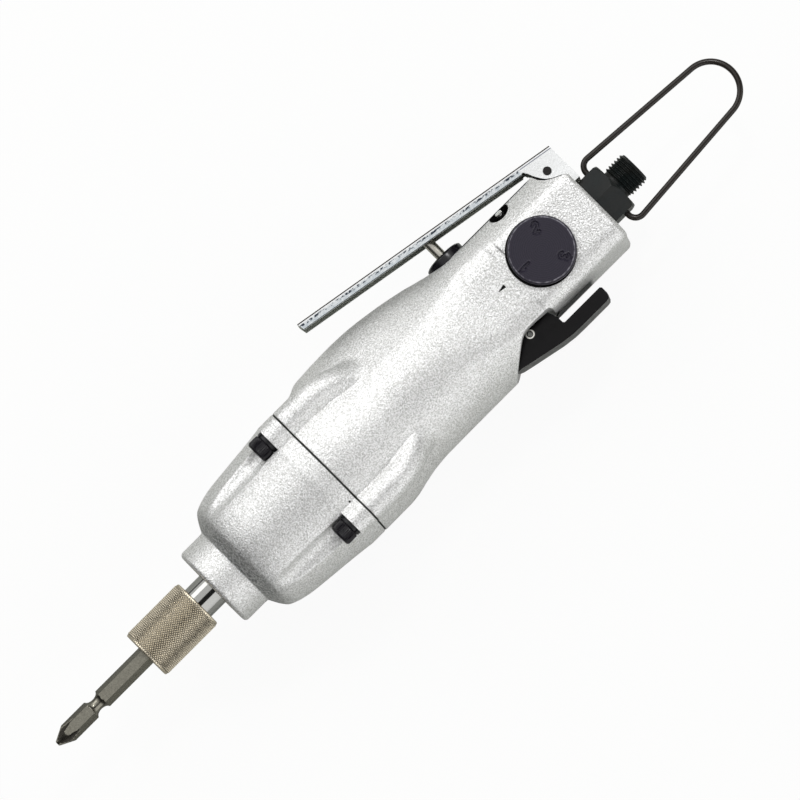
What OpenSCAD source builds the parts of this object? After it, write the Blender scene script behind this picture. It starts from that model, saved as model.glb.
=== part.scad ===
// Inline air screwdriver with an impact mechanism, a hand throttle lever,
// a three-step air regulator and a reversing lever.
// +X runs along the tool towards the air inlet, +Y is the throttle side and
// +Z the regulator side. The origin is the centre of the nose collar's face.

/* [Front case] */
// Radius of the round collar at the nose
nose_r = 16.3; // [15.5:0.1:17.5]
// Length of the nose collar
nose_len = 11; // [9:0.5:12]
// Rounding of the collar's front edge
nose_edge = 1.6; // [0.5:0.1:2]
// Length of the front case, from the nose to the joint
case_len = 57; // [56:0.5:60]
// Outer radius of both flanges at the joint
flange_r = 28.2; // [27.5:0.1:29]
// Radius of the chamber that the hammers turn in
chamber_r = 20.8; // [20.6:0.1:21.2]
// Length of the solid nose in front of that chamber
nose_wall = 20; // [19:0.5:21]
// Thickness of the joint gasket
gasket_t = 0.4; // [0.3:0.1:0.6]

/* [Case screws] */
// Number of screws that hold the two housings together
screw_count = 4; // [3:1:4]
// Radius of the circle that the screws lie on
screw_circle_r = 29; // [28.6:0.1:29.4]
// Thread diameter of a screw
screw_d = 5; // [4:0.5:5.5]
// Diameter of a screw head
screw_head_d = 8.5; // [8:0.1:9.2]
// Height of a screw head
screw_head_h = 5; // [4:0.5:5.5]
// Length of a screw under its head
screw_len = 25; // [22:1:28]
// Width across flats of the socket in a head
screw_socket_af = 4; // [3:0.5:4.5]
// Thickness of a spring washer
washer_t = 1.3; // [1:0.1:1.5]
// Thickness of the metal under a screw head
screw_seat_t = 7.1; // [6:0.1:8]
// Radius of the open pocket in front of a screw head
pocket_r = 5.2; // [5:0.1:5.4]
// Radius of the boss round a screw
boss_r = 5.7; // [5.6:0.1:6]

/* [Rear housing] */
// Length of the rear housing behind the joint
body_len = 131.7; // [130:0.1:134]
// Radius of the grip and of the valve block
grip_r = 24.7; // [24.5:0.1:25.2]
// Height of the spine above the axis
spine_h = 31; // [30:0.1:31.5]
// Width of the spine
spine_w = 15; // [12:0.5:17]
// Height of the flat under the throttle lever
top_flat_h = 22.2; // [22:0.1:22.4]
// Height of the flat pad round the regulator dial
pad_h = 21.2; // [21:0.1:21.6]
// Depth of the valley in front of the pad
pad_step = 0.7; // [0.4:0.1:0.9]
// Distance from the axis to the flat above the reverse lever
low_flat_h = 17.3; // [17:0.1:18]
// Chamfer round the rear face
rear_edge = 2; // [1:0.1:2.5]

/* [Air motor] */
// Radius of the motor bore
motor_r = 21.5; // [21.3:0.1:21.6]
// Length of the cylinder liner
liner_len = 38; // [34:1:40]
// Radius of the bore of the cylinder liner
liner_bore_r = 17; // [16.9:0.1:17.2]
// Offset of the liner's bore from the axis
liner_offset = 1.5; // [1.4:0.1:1.6]
// Radius of the rotor
rotor_r = 15; // [14.5:0.1:15.1]
// Radius of the rotor shaft
shaft_r = 5; // [4.5:0.1:5.2]
// Number of vanes
vane_count = 5; // [4:1:6]
// Thickness of a vane
vane_t = 2; // [1.5:0.1:2.4]
// Height of a vane
vane_h = 7.5; // [6.5:0.1:8]
// Thickness of an end plate
plate_t = 10; // [9.5:0.5:11]
// Outer diameter of a shaft bearing
bearing_od = 26; // [25:0.5:27]
// Width of a shaft bearing
bearing_w = 8; // [7:0.5:8.5]
// Diameter of a bearing ball
ball_d = 4.7; // [4.3:0.1:4.8]
// Number of balls in a bearing
ball_count = 7; // [6:1:8]

/* [Hammer mechanism] */
// Outer radius of the hammer cage
cage_r = 20; // [19.8:0.1:20.2]
// Thickness of the cage's front plate
cage_front_t = 4; // [3:0.5:5]
// Thickness of the cage's rear plate
cage_rear_t = 8; // [7.5:0.5:9]
// Outer radius of a hammer
hammer_r = 16.6; // [16.2:0.1:16.8]
// Radius of the bore of a hammer
hammer_bore_r = 10.8; // [10.4:0.1:11.2]
// Inner radius of the dog inside a hammer
hammer_dog_r = 7.9; // [7.7:0.1:8.2]
// Radius of a hammer pin
pin_r = 2; // [1.8:0.1:2.1]
// Radius of the circle that the hammer pins lie on
pin_circle_r = 16.9; // [16.7:0.1:17.1]
// Radius of the anvil inside the hammers
anvil_core_r = 6.9; // [6.7:0.1:7.1]
// Radius over the anvil's jaws
anvil_jaw_r = 9.3; // [9:0.1:9.5]
// Width across flats of the drive between rotor and cage
drive_af = 8; // [7:0.1:8.5]

/* [Anvil and chuck] */
// Diameter of the anvil where it leaves the nose
anvil_d = 13; // [12.6:0.1:13.2]
// Diameter of the anvil inside the sleeve
anvil_tip_d = 11.2; // [11:0.1:11.4]
// Distance from the nose back to the rear end of the sleeve
sleeve_gap = 7.2; // [6:0.1:8]
// Length of the sleeve
sleeve_len = 25.6; // [24.5:0.1:27]
// Diameter of the sleeve
sleeve_d = 20; // [19:0.1:21]
// Width across flats of the bit socket
socket_af = 6.45; // [6.42:0.01:6.5]
// Diameter of the ball that locks the bit
lock_ball_d = 2.3; // [2.1:0.1:2.35]
// Wire diameter of the sleeve spring
sleeve_wire_d = 0.8; // [0.6:0.1:0.9]
// Number of turns of the sleeve spring
sleeve_turns = 4; // [3:1:5]

/* [Screwdriver bit] */
// Width across flats of the bit
bit_af = 6.35; // [6.25:0.01:6.38]
// Length of the bit
bit_len = 70; // [69:0.5:72]
// Length of the pointed part at each end
bit_point_len = 5.9; // [5:0.1:7]
// Distance from a tip to its groove
bit_groove_from = 16.8; // [16:0.1:17]
// Length of a groove
bit_groove_len = 4.9; // [4.5:0.1:5.2]
// Diameter in a groove
bit_groove_d = 4.5; // [4:0.1:5]
// How far the tip stands in front of the nose
bit_reach = 76.4; // [75:0.1:77]

/* [Throttle lever] */
// Length of the lever from its tip to its pin
lever_len = 99.4; // [95:0.1:100]
// Width over the lever's two sides
lever_w = 14; // [13:0.1:15]
// Thickness of the lever's sheet
lever_t = 1.2; // [1:0.1:1.5]
// Depth of the lever's side walls
lever_wall = 3; // [2.5:0.1:3.2]
// Slope of the lever at rest, in degrees
lever_slope = 9.66; // [9.2:0.1:10]
// Diameter of the lever's pin
lever_pin_d = 3; // [2.5:0.1:3.5]
// Distance of the pin in front of the housing's rear face
lever_pin_back = 3.9; // [3.5:0.1:4.2]
// Height of the pin above the axis
lever_pin_h = 19.9; // [19.7:0.1:20.2]
// Distance from the pin up to the top of the lever
lever_rise = 7; // [6.8:0.1:7.3]

/* [Throttle valve] */
// Distance of the valve in front of the lever's pin
valve_from_pin = 46.8; // [46:0.1:47]
// Diameter of the valve stem
stem_d = 4; // [3.5:0.1:4.2]
// Diameter of the valve bush's dome
bush_d = 15; // [14:0.1:15.5]
// Height of the dome above the flat
bush_h = 3.5; // [3:0.1:3.8]
// Travel of the valve stem
valve_travel = 4; // [3.9:0.1:4.2]
// Wire diameter of the valve spring
valve_wire_d = 0.8; // [0.6:0.1:1]
// Number of turns of the valve spring
valve_turns = 4; // [3:1:5]

/* [Air regulator] */
// Diameter of the regulator dial
dial_d = 25.5; // [24.5:0.1:26]
// Height of the dial above its pad
dial_h = 3; // [2.5:0.1:3.5]
// Chamfer round the dial's face
dial_edge = 1; // [0.6:0.1:1.2]
// Distance of the dial in front of the rear face
dial_back = 25.4; // [25:0.1:25.8]
// Diameter of the valve spindle under the dial
spindle_d = 14; // [13.5:0.1:14.2]

/* [Reverse lever] */
// Distance of the reverse pivot in front of the rear face
reverse_back = 48.5; // [48:0.1:49]
// Height of the lever's seat, below the axis
reverse_seat = 13; // [12.8:0.1:13.3]
// Width of the reverse lever
reverse_w = 15; // [13:0.5:16]
// Length of the paddle behind the pivot
paddle_len = 29.2; // [28:0.1:30]
// Thickness of the paddle
paddle_t = 5.2; // [4.5:0.1:5.6]
// Reach of the wedge in front of the pivot
wedge_len = 12.7; // [12.2:0.1:12.8]
// Diameter of the roll pin
roll_pin_d = 3.3; // [3:0.1:3.5]
// Wall of the roll pin
roll_pin_t = 0.7; // [0.5:0.1:0.9]

/* [Air inlet] */
// Width across flats of the inlet bush
inlet_af = 19; // [18.6:0.1:20]
// Length of the hexagon
inlet_hex_len = 9.5; // [9:0.1:10]
// Diameter of the pipe thread
thread_d = 13.16; // [13:0.01:13.3]
// Length of the pipe thread
thread_len = 9.7; // [9:0.1:11]
// Diameter of the air passage
inlet_bore_d = 8; // [7:0.1:8.5]

/* [Hanger] */
// Diameter of the hanger wire
wire_d = 2.2; // [2:0.1:2.4]
// Length of the hanger from its pivot
hanger_len = 61.2; // [58:0.1:66]
// Distance between the two legs at the pivot
hanger_w = 27.7; // [27:0.1:28.5]
// Distance between the two legs at the far end
hanger_end_w = 20.6; // [19.5:0.1:22]
// Bend radius at the pivot
hanger_bend = 3.5; // [3:0.1:3.8]

/* [Fits] */
// Radial clearance of a running fit
run_gap = 0.05; // [0.03:0.01:0.08]
// Clearance between pieces that only pass each other
pass_gap = 0.3; // [0.2:0.05:0.4]
// Clearance of a piece that is pressed in or clamped
seat_gap = 0.02; // [0.01:0.01:0.03]

/* [Hidden] */
$fn = 96;
cut = 1;

// Places along the tool, from the nose to the inlet
body_x = case_len + gasket_t;
rear_x = body_x + body_len;
seat_x = case_len - screw_seat_t;
lever_pin_x = rear_x - lever_pin_back;
valve_x = lever_pin_x - valve_from_pin;
dial_x = rear_x - dial_back;
reverse_x = rear_x - reverse_back;

// Motor stack, clamped between the front case and the end of the motor bore
liner_x = case_len + plate_t;
rear_plate_x = liner_x + liner_len;
stack_end_x = rear_plate_x + plate_t;
plate_r = motor_r - seat_gap;
bearing_r = bearing_od / 2;
rear_bearing_x = stack_end_x - bearing_w;
race_pitch_r = (bearing_r + shaft_r) / 2;
race_land = ball_d * 0.36;
rotor_gap = pass_gap / 2;
vane_r = liner_bore_r - liner_offset - rotor_gap;
dowel_r = 1.25;
dowel_y = (motor_r + liner_bore_r - liner_offset) / 2;
port_r = 2;
port_y = -liner_bore_r / 2;
port_z = liner_bore_r * 0.8;

// Hammer mechanism
cage_x = nose_wall + pass_gap * 3;
cage_end_x = case_len - pass_gap;
hammers_x = cage_x + cage_front_t + pass_gap;
hammer_t = (cage_end_x - cage_rear_t - hammers_x) / 2 - pass_gap;
hammer_rear_x = hammers_x + hammer_t + pass_gap;
drive_len = cage_rear_t * 0.6;
drive_x = cage_end_x - drive_len;
anvil_end_x = drive_x - pass_gap;
dog_half_angle = 18;
jaw_half_angle = 17;
jaw_lead = 46;
strut_half_angle = 24;
strut_gap = 1.4;
strut_r = hammer_r + strut_gap;
pin_relief = 1.6;

// Chuck
bit_rear_x = bit_len - bit_reach;
sleeve_x = -sleeve_gap - sleeve_len;
anvil_recess = 1.3;
anvil_x = sleeve_x + anvil_recess;
anvil_step_x = -sleeve_gap - sleeve_wire_d * 4;
anvil_tip_r = anvil_tip_d / 2;
lock_ball_x = bit_rear_x - bit_groove_from - bit_groove_len / 2;
lock_ball_z = bit_af / 2 + lock_ball_d / 2 + seat_gap;
land_half = lock_ball_d * 1.25;
sleeve_bore_r = anvil_d / 2 + run_gap * 5;
sleeve_recess_r = sleeve_bore_r + lock_ball_d * 0.3;
ring_w = 1.2;
ring_x = lock_ball_x - land_half - ring_w - run_gap;
sleeve_spring_x = lock_ball_x + land_half;
bush_wall = 4;

// Throttle lever, in the flat plane through its pin
lever_rear = 6.6;
cheek_drop = 5;
tail_drop = 9.3;
tail_depth = 2.3;
lever_in_w = lever_w - 2 * lever_t;
lug_w = lever_in_w - pass_gap * 1.4;
slope = tan(lever_slope);
stem_tip_y = lever_pin_h + lever_rise + (valve_from_pin * slope) - lever_t / cos(lever_slope)
    - run_gap * 4;
stem_r = stem_d / 2;
valve_bore_r = bush_d * 0.4;
seat_y = 11;
seat_t = 2;
valve_head_t = 2.4;
valve_head_y = seat_y - seat_t - run_gap * 2;
valve_floor_y = valve_head_y - valve_head_t - valve_travel - valve_wire_d * (valve_turns + 1);
o_ring_r = 0.9;
bush_ring_rise = 6;
bush_ring_y = seat_y + bush_ring_rise;

// Regulator
spindle_r = spindle_d / 2;
spindle_z = -spindle_r * 0.9;
dial_z = pad_h + run_gap;
detent_r = 1.5;
detent_at = (spindle_r + dial_d / 2) / 2;
detent_depth = 7;
dial_ring_depth = 4;
dial_ring_z = pad_h - dial_ring_depth;

// Reverse valve and lever
reverse_bore_r = 6;
spool_len = 7;
reverse_top = reverse_seat - spool_len;
reverse_pin_y = reverse_seat + roll_pin_d;
reverse_neck_r = 4.4;
paddle_drop = 8.9;
paddle_y = reverse_seat + paddle_drop;
scoop_gap = 2.5;
scoop_r = wedge_len + scoop_gap;
wedge_top_r = 9;

// Air inlet
inlet_root_r = 8;
inlet_root_len = 15.6;
inlet_chamber_r = 6;
hanger_x = rear_x + inlet_hex_len * 0.58;
hanger_hole_depth = 4.5;
inlet_end_x = rear_x + inlet_hex_len + thread_len;
air_r = inlet_bore_d / 2;

// Plug of the cross drilling
plug_shift = 1.2;
plug_x = dial_x - plug_shift;
plug_angle = 57;
plug_r = 3.75;
plug_depth = 3;

// Exhaust pocket on the side away from the dial
exhaust_len = 24;
exhaust_w = 12;
exhaust_depth = 4;
exhaust_back = 5;
exhaust_x = rear_x - exhaust_len - exhaust_back;
exhaust_slots = 6;

// Radii of the front case as shares of the flange radius, at shares of the
// length between the nose collar and the joint
case_shares = [
    [0, 0.585], [0.044, 0.716], [0.089, 0.805], [0.135, 0.840], [0.18, 0.865],
    [0.227, 0.883], [0.27, 0.897], [0.452, 0.929], [0.635, 0.957], [0.815, 0.989],
    [0.87, 1], [1, 1]
];

// Radii of the waist as shares of the way from the grip to the flange, at
// shares of the length from the joint to the end of the waist
waist_shares = [
    [0, 1], [0.27, 1], [0.42, 0.86], [0.61, 0.62], [0.76, 0.34], [0.88, 0.17], [1, 0.03]
];
waist_len = body_len * 0.235;

// Outline of the spine: shares of the body's length, and shares of the way
// from the top flat to the spine's full height
spine_shares = [
    [0.064, 0.3], [0.079, 0.79], [0.092, 0.96], [0.157, 1], [0.265, 1], [0.3, 0.966],
    [0.363, 0.886], [0.425, 0.727], [0.489, 0.568], [0.552, 0.33], [0.62, 0.06], [0.68, -0.05]
];

// Side view of the notch for the reverse lever: shares of the wedge's reach,
// and shares of the grip radius below the axis
notch_shares = [
    [-0.016, 0.619], [-0.263, 0.659], [-1.016, 0.939], [-1.45, 1.1], [0.915, 1.1],
    [0.915, 0.7], [0.88, 0.636], [0.78, 0.619]
];

// Turns a shape drawn along Z so that it runs along X, from x
module along_x(x = 0) translate([x, 0, 0]) rotate([0, 90, 0]) children();

// Turns a shape drawn along Z so that it runs along Y, at x, from y
module along_y(x, y) translate([x, y, 0]) rotate([-90, 0, 0]) children();

// Plain round bar along X from x0 to x1
module bar_x(x0, x1, r) along_x(x0) cylinder(r = r, h = x1 - x0);

// Round tube along X
module tube_x(x0, x1, r_out, r_in) {
    difference() {
        bar_x(x0, x1, r_out);
        bar_x(x0 - cut, x1 + cut, r_in);
    }
}

// Hexagonal bar along X, given across its flats, with flats facing Y
module hex_x(x0, x1, af) {
    along_x(x0) cylinder(r = af / sqrt(3), h = x1 - x0, $fn = 6);
}

// Solid of revolution about X, from points that give place and radius
module lathe_x(points) {
    rotate([0, 90, 0]) rotate_extrude() polygon([for (p = points) [p[1], p[0]]]);
}

// Ring of round section about X
module ring_x(x, r, section_r) {
    along_x(x) rotate_extrude() translate([r, 0]) circle(r = section_r, $fn = 32);
}

// Copies at equal angles about the tool's axis, the first one off by start
module round_x(count, start = 0) {
    for (i = [0 : count - 1]) rotate([start + i * 360 / count, 0, 0]) children();
}

// Straight drilling between two points
module drilling(a, b, r) {
    d = b - a;
    length = norm(d);
    translate(a) rotate([0, acos(d[2] / length), atan2(d[1], d[0])])
        cylinder(r = r, h = length, $fn = 48);
}

// Coil spring about Z as one tube of six sides, from z = 0 up to h
module coil(r, wire, turns, h) {
    steps = 24;
    sides = 6;
    count = steps * turns;
    rise = (h - wire) / count;
    points = [
        for (i = [0 : count]) for (k = [0 : sides - 1])
            let (a = i * 360 / steps, b = k * 360 / sides, q = r + wire / 2 * cos(b))
                [q * cos(a), q * sin(a), wire / 2 + i * rise + wire / 2 * sin(b)]
    ];
    sides_faces = [
        for (i = [0 : count - 1]) for (k = [0 : sides - 1])
            let (n = (k + 1) % sides)
                [i * sides + k, i * sides + n, (i + 1) * sides + n, (i + 1) * sides + k]
    ];
    start_face = [[for (k = [0 : sides - 1]) sides - 1 - k]];
    end_face = [[for (k = [0 : sides - 1]) count * sides + k]];
    polyhedron(points, concat(sides_faces, start_face, end_face), convexity = turns + 2);
}

// Screw holes through a flange
module screw_holes(r, x0, x1) {
    round_x(screw_count, 45) translate([0, screw_circle_r, 0]) bar_x(x0, x1, r);
}

module case_outline() {
    run = case_len - nose_len;
    lathe_x(concat(
        [[0, 0], [0, nose_r - nose_edge], [nose_edge, nose_r], [nose_len, nose_r]],
        [for (s = case_shares) [nose_len + s[0] * run, s[1] * flange_r]],
        [[case_len, 0]]
    ));
}

module front_case() {
    color("silver") difference() {
        union() {
            case_outline();
            round_x(screw_count, 45) translate([0, screw_circle_r, 0])
                bar_x(seat_x, case_len, boss_r);
        }
        bar_x(nose_wall, case_len + cut, chamber_r);
        bar_x(-cut, nose_wall + cut, anvil_d / 2 + bush_wall);
        round_x(screw_count, 45) translate([0, screw_circle_r, 0])
            bar_x(nose_len + nose_edge, seat_x, pocket_r);
        screw_holes(screw_d / 2 + run_gap * 4, seat_x - cut, case_len + cut);
    }
}

module waist_outline() {
    lathe_x(concat(
        [[body_x - cut, 0], [body_x - cut, flange_r]],
        [for (s = waist_shares)
            [body_x + s[0] * waist_len, grip_r + s[1] * (flange_r - grip_r)]],
        [[rear_x - rear_edge, grip_r], [rear_x, grip_r - rear_edge], [rear_x, 0]]
    ));
}

module spine() {
    rise = spine_h - top_flat_h;
    translate([0, 0, -spine_w / 2]) linear_extrude(spine_w) polygon(concat(
        [[body_x + spine_shares[0][0] * body_len, 0]],
        [for (s = spine_shares) [body_x + s[0] * body_len, top_flat_h + s[1] * rise]],
        [[body_x + spine_shares[len(spine_shares) - 1][0] * body_len, 0]]
    ));
}

// Boss round a screw in the rear housing, which fades into the grip
module fading_boss() {
    reach = screw_len - screw_head_h;
    hull() {
        translate([body_x - cut, screw_circle_r, 0]) rotate([0, 90, 0])
            cylinder(r = boss_r, h = reach * 0.55 + cut, $fn = 32);
        translate([body_x + reach * 1.1, screw_circle_r - boss_r * 0.25, 0])
            sphere(r = boss_r * 0.8, $fn = 24);
        translate([body_x + reach * 1.7, grip_r - boss_r * 0.5, 0])
            sphere(r = boss_r * 0.4, $fn = 16);
    }
}

// Side flat in front of the dial, the pad, the top and the low flat
module block_flats() {
    wide = 2 * spine_h;
    valley_x = dial_x - dial_d / 2 - boss_r * 2;
    pad_x = dial_x - dial_d * 0.4;
    valley_z = pad_h - pad_step;
    slope_len = grip_r * 0.7;
    translate([0, -wide / 2, 0]) rotate([90, 0, 0]) mirror([0, 0, 1])
        linear_extrude(wide) polygon([
            [valley_x - slope_len, grip_r + cut],
            [valley_x, valley_z], [pad_x - pad_step, valley_z], [pad_x, pad_h],
            [rear_x + cut, pad_h], [rear_x + cut, grip_r + cut]
        ]);
    translate([valve_x + bush_d / 2, top_flat_h, -wide / 2])
        cube([rear_x - valve_x, spine_h, wide]);
    translate([reverse_x, -low_flat_h - spine_h, -wide / 2])
        cube([rear_x - reverse_x + cut, spine_h, wide]);
}

// Round hollow that the reverse lever turns in, and the notch across the block
// that shows its side
module reverse_scoop() {
    top_r = norm([wedge_top_r, reverse_w / 2]) + pass_gap * 1.5;
    bottom = reverse_seat + wedge_len;
    along_y(reverse_x, -bottom)
        cylinder(r1 = scoop_r, r2 = top_r, h = bottom - reverse_seat + pass_gap);
    along_y(reverse_x, -bottom - grip_r) cylinder(r = scoop_r, h = grip_r + cut / 2);
    translate([reverse_x, 0, -flange_r]) linear_extrude(2 * flange_r)
        polygon([for (s = notch_shares) [s[0] * wedge_len, -s[1] * grip_r]]);
}

// Outline of the lever's cheek round its pin; grow makes room for it
module cheek_outline(grow) {
    translate([lever_pin_x, lever_pin_h]) polygon([
        [-lever_rear - grow, lever_rise], [-cheek_drop - grow, lever_rise * 0.2],
        [-cheek_drop * 0.5 - grow, -cheek_drop * 0.5 - grow * 0.5],
        [lever_rear - tail_depth - grow * 0.4, -cheek_drop - grow],
        [lever_rear + grow * 2, -cheek_drop - grow], [lever_rear + grow * 2, lever_rise]
    ]);
}

// Room beside the lug for the lever's two cheeks
module cheek_slots() {
    for (side = [0, 1]) mirror([0, 0, side])
        translate([0, 0, lug_w / 2]) linear_extrude(grip_r) cheek_outline(pass_gap * 3);
}

module throttle_bores() {
    along_y(valve_x, valve_floor_y)
        cylinder(r = valve_bore_r, h = top_flat_h + spine_h - valve_floor_y);
    along_y(valve_x, top_flat_h) cylinder(r = bush_d / 2 + pass_gap, h = spine_h);
}

module regulator_bores() {
    translate([dial_x, 0, spindle_z - run_gap])
        cylinder(r = spindle_r + run_gap, h = grip_r - spindle_z);
    translate([dial_x + detent_at, 0, pad_h - detent_depth])
        cylinder(r = detent_r + run_gap, h = detent_depth + cut);
}

module inlet_bores() {
    bar_x(rear_x - inlet_root_len, rear_x + cut, inlet_root_r);
    bar_x(dial_x, rear_x - inlet_root_len + cut, inlet_chamber_r);
    bar_x(valve_x, dial_x, air_r);
}

module air_drillings() {
    low_y = -reverse_top - reverse_bore_r / 2;
    drilling([valve_x, seat_y + seat_t, 0], [reverse_x - reverse_bore_r, low_y, 0], port_r);
    for (side = [-1, 1]) drilling([stack_end_x - cut, port_y, side * port_z],
        [reverse_x, low_y, side * reverse_bore_r / 2], port_r);
    translate([0, 0, exhaust_depth - pad_h]) bar_x(rear_plate_x, exhaust_x + cut * 2, port_r);
}

module exhaust_pocket() {
    translate([exhaust_x, -exhaust_w / 2, -grip_r - cut])
        cube([exhaust_len, exhaust_w, exhaust_depth + cut]);
    inner = exhaust_w - 2 * lever_t;
    translate([exhaust_x + lever_t, -inner / 2, -grip_r])
        cube([exhaust_len - 2 * lever_t, inner, exhaust_depth + port_r * 2]);
}

module rear_housing() {
    color("silver") difference() {
        union() {
            waist_outline();
            spine();
            round_x(screw_count, 45) fading_boss();
        }
        translate([case_len - flange_r, -flange_r * 2, -flange_r * 2])
            cube([flange_r + gasket_t, flange_r * 4, flange_r * 4]);
        block_flats();
        reverse_scoop();
        cheek_slots();
        bar_x(body_x - cut, stack_end_x, motor_r);
        screw_holes(screw_d / 2, body_x - cut, seat_x - washer_t + screw_len + cut);
        throttle_bores();
        regulator_bores();
        along_y(reverse_x, -reverse_seat - cut)
            cylinder(r = reverse_bore_r, h = reverse_seat - reverse_top + cut);
        inlet_bores();
        air_drillings();
        translate([lever_pin_x, lever_pin_h, -lug_w])
            cylinder(r = lever_pin_d / 2, h = 2 * lug_w);
        translate([plug_x, 0, 0]) rotate([-plug_angle, 0, 0]) {
            translate([0, 0, grip_r - plug_depth * 2]) cylinder(r = plug_r, h = grip_r);
            cylinder(r = port_r, h = grip_r);
        }
        exhaust_pocket();
    }
}

module case_gasket() {
    color("dimgray") difference() {
        union() {
            bar_x(case_len, body_x, flange_r - gasket_t);
            round_x(screw_count, 45) translate([0, screw_circle_r, 0])
                bar_x(case_len, body_x, boss_r - gasket_t);
        }
        bar_x(case_len - cut, body_x + cut, motor_r);
        screw_holes(screw_d / 2 + run_gap * 4, case_len - cut, body_x + cut);
    }
}

module case_screws() {
    head_x = seat_x - washer_t - screw_head_h;
    color("black") round_x(screw_count, 45) translate([0, screw_circle_r, 0]) difference() {
        union() {
            bar_x(head_x, head_x + screw_head_h, screw_head_d / 2);
            bar_x(head_x + screw_head_h - cut / 2, head_x + screw_head_h + screw_len,
                screw_d / 2 - seat_gap);
        }
        hex_x(head_x - cut, head_x + screw_head_h / 2, screw_socket_af);
    }
}

// Split washers: the gap is cut through one side
module spring_washers() {
    slit = washer_t / 2;
    color("black") round_x(screw_count, 45) translate([0, screw_circle_r, 0]) difference() {
        tube_x(seat_x - washer_t, seat_x, screw_head_d / 2, screw_d / 2);
        translate([seat_x - washer_t - cut, 0, -slit / 2])
            cube([washer_t + 2 * cut, screw_head_d, slit]);
    }
}

module nose_bush() {
    color("darkgoldenrod") tube_x(nose_edge / 2, nose_wall - pass_gap,
        anvil_d / 2 + bush_wall, anvil_d / 2 + run_gap);
}

// End plate with its bearing seat at one side, from x along X
module end_plate(x, seat_x0) {
    difference() {
        bar_x(x, x + plate_t, plate_r);
        bar_x(x - cut, x + plate_t + cut, shaft_r + pass_gap * 2);
        bar_x(seat_x0, seat_x0 + bearing_w, bearing_r);
        translate([0, dowel_y, 0]) bar_x(x - cut, x + plate_t + cut, dowel_r);
    }
}

module front_end_plate() {
    color("gray") difference() {
        end_plate(case_len, case_len);
        bar_x(case_len - cut, case_len + cut, bearing_r - seat_gap);
    }
}

module rear_end_plate() {
    color("gray") difference() {
        end_plate(rear_plate_x, rear_bearing_x);
        for (side = [-1, 1]) translate([0, port_y, side * port_z])
            bar_x(rear_plate_x - cut, stack_end_x + cut, port_r);
    }
}

module cylinder_liner() {
    slot_pitch = liner_len / 7;
    color("lightgray") difference() {
        bar_x(liner_x, rear_plate_x, plate_r);
        translate([0, -liner_offset, 0])
            bar_x(liner_x - cut, rear_plate_x + cut, liner_bore_r);
        translate([0, dowel_y, 0]) bar_x(liner_x - cut, rear_plate_x + cut, dowel_r);
        for (i = [1 : 6]) translate([liner_x + i * slot_pitch, 0, -motor_r])
            cube([slot_pitch / 2, slot_pitch * 2, motor_r], center = true);
    }
}

module liner_dowel() {
    color("gray") translate([0, dowel_y, 0])
        bar_x(case_len + plate_t / 4, stack_end_x - plate_t / 4, dowel_r);
}

// Bearing whose front face is at x
module bearing_outer(x) {
    color("lightgray") difference() {
        tube_x(x, x + bearing_w, bearing_r, race_pitch_r + race_land);
        ring_x(x + bearing_w / 2, race_pitch_r, ball_d / 2 + run_gap);
    }
}

module bearing_inner(x) {
    color("lightgray") difference() {
        tube_x(x, x + bearing_w, race_pitch_r - race_land, shaft_r);
        ring_x(x + bearing_w / 2, race_pitch_r, ball_d / 2 + run_gap);
    }
}

module bearing_balls(x) {
    cage_t = race_land * 0.7;
    color("lightsteelblue") {
        round_x(ball_count) translate([x + bearing_w / 2, race_pitch_r, 0])
            sphere(r = ball_d / 2, $fn = 32);
        difference() {
            tube_x(x + bearing_w / 4, x + bearing_w * 0.75,
                race_pitch_r + cage_t, race_pitch_r - cage_t);
            round_x(ball_count) translate([x, race_pitch_r, 0])
                bar_x(0, bearing_w, ball_d / 2 + run_gap);
        }
    }
}

module front_bearing_outer() bearing_outer(case_len);
module front_bearing_inner() bearing_inner(case_len);
module front_bearing_balls() bearing_balls(case_len);
module rear_bearing_outer() bearing_outer(rear_bearing_x);
module rear_bearing_inner() bearing_inner(rear_bearing_x);
module rear_bearing_balls() bearing_balls(rear_bearing_x);

// Room of a vane: a box along X between two radii
module vane_box(x0, x1, width, r_low, r_high) {
    translate([x0, r_low, -width / 2]) cube([x1 - x0, r_high - r_low, width]);
}

module rotor() {
    x0 = liner_x + rotor_gap;
    x1 = rear_plate_x - rotor_gap;
    slot_w = vane_t + run_gap * 2;
    color("darkgray") union() {
        difference() {
            bar_x(x0, x1, rotor_r);
            round_x(vane_count) vane_box(x0 - cut, x1 + cut, slot_w,
                vane_r - vane_h - pass_gap, rotor_r + cut);
        }
        bar_x(case_len, stack_end_x - pass_gap, shaft_r);
        hex_x(drive_x + pass_gap, case_len + cut, drive_af);
    }
}

module vanes() {
    color("peru") round_x(vane_count) vane_box(liner_x + rotor_gap, rear_plate_x - rotor_gap,
        vane_t, vane_r - vane_h, vane_r);
}

// Sector of a tube along X, centred on +Y
module sector_x(x0, x1, r_out, r_in, half_angle) {
    reach = r_out * 2;
    intersection() {
        tube_x(x0, x1, r_out, r_in);
        translate([x0 - cut, 0, 0]) rotate([90, 0, 90]) linear_extrude(x1 - x0 + 2 * cut)
            polygon([[0, 0], [reach * cos(half_angle), -reach * sin(half_angle)],
                [reach * cos(half_angle), reach * sin(half_angle)]]);
    }
}

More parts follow.
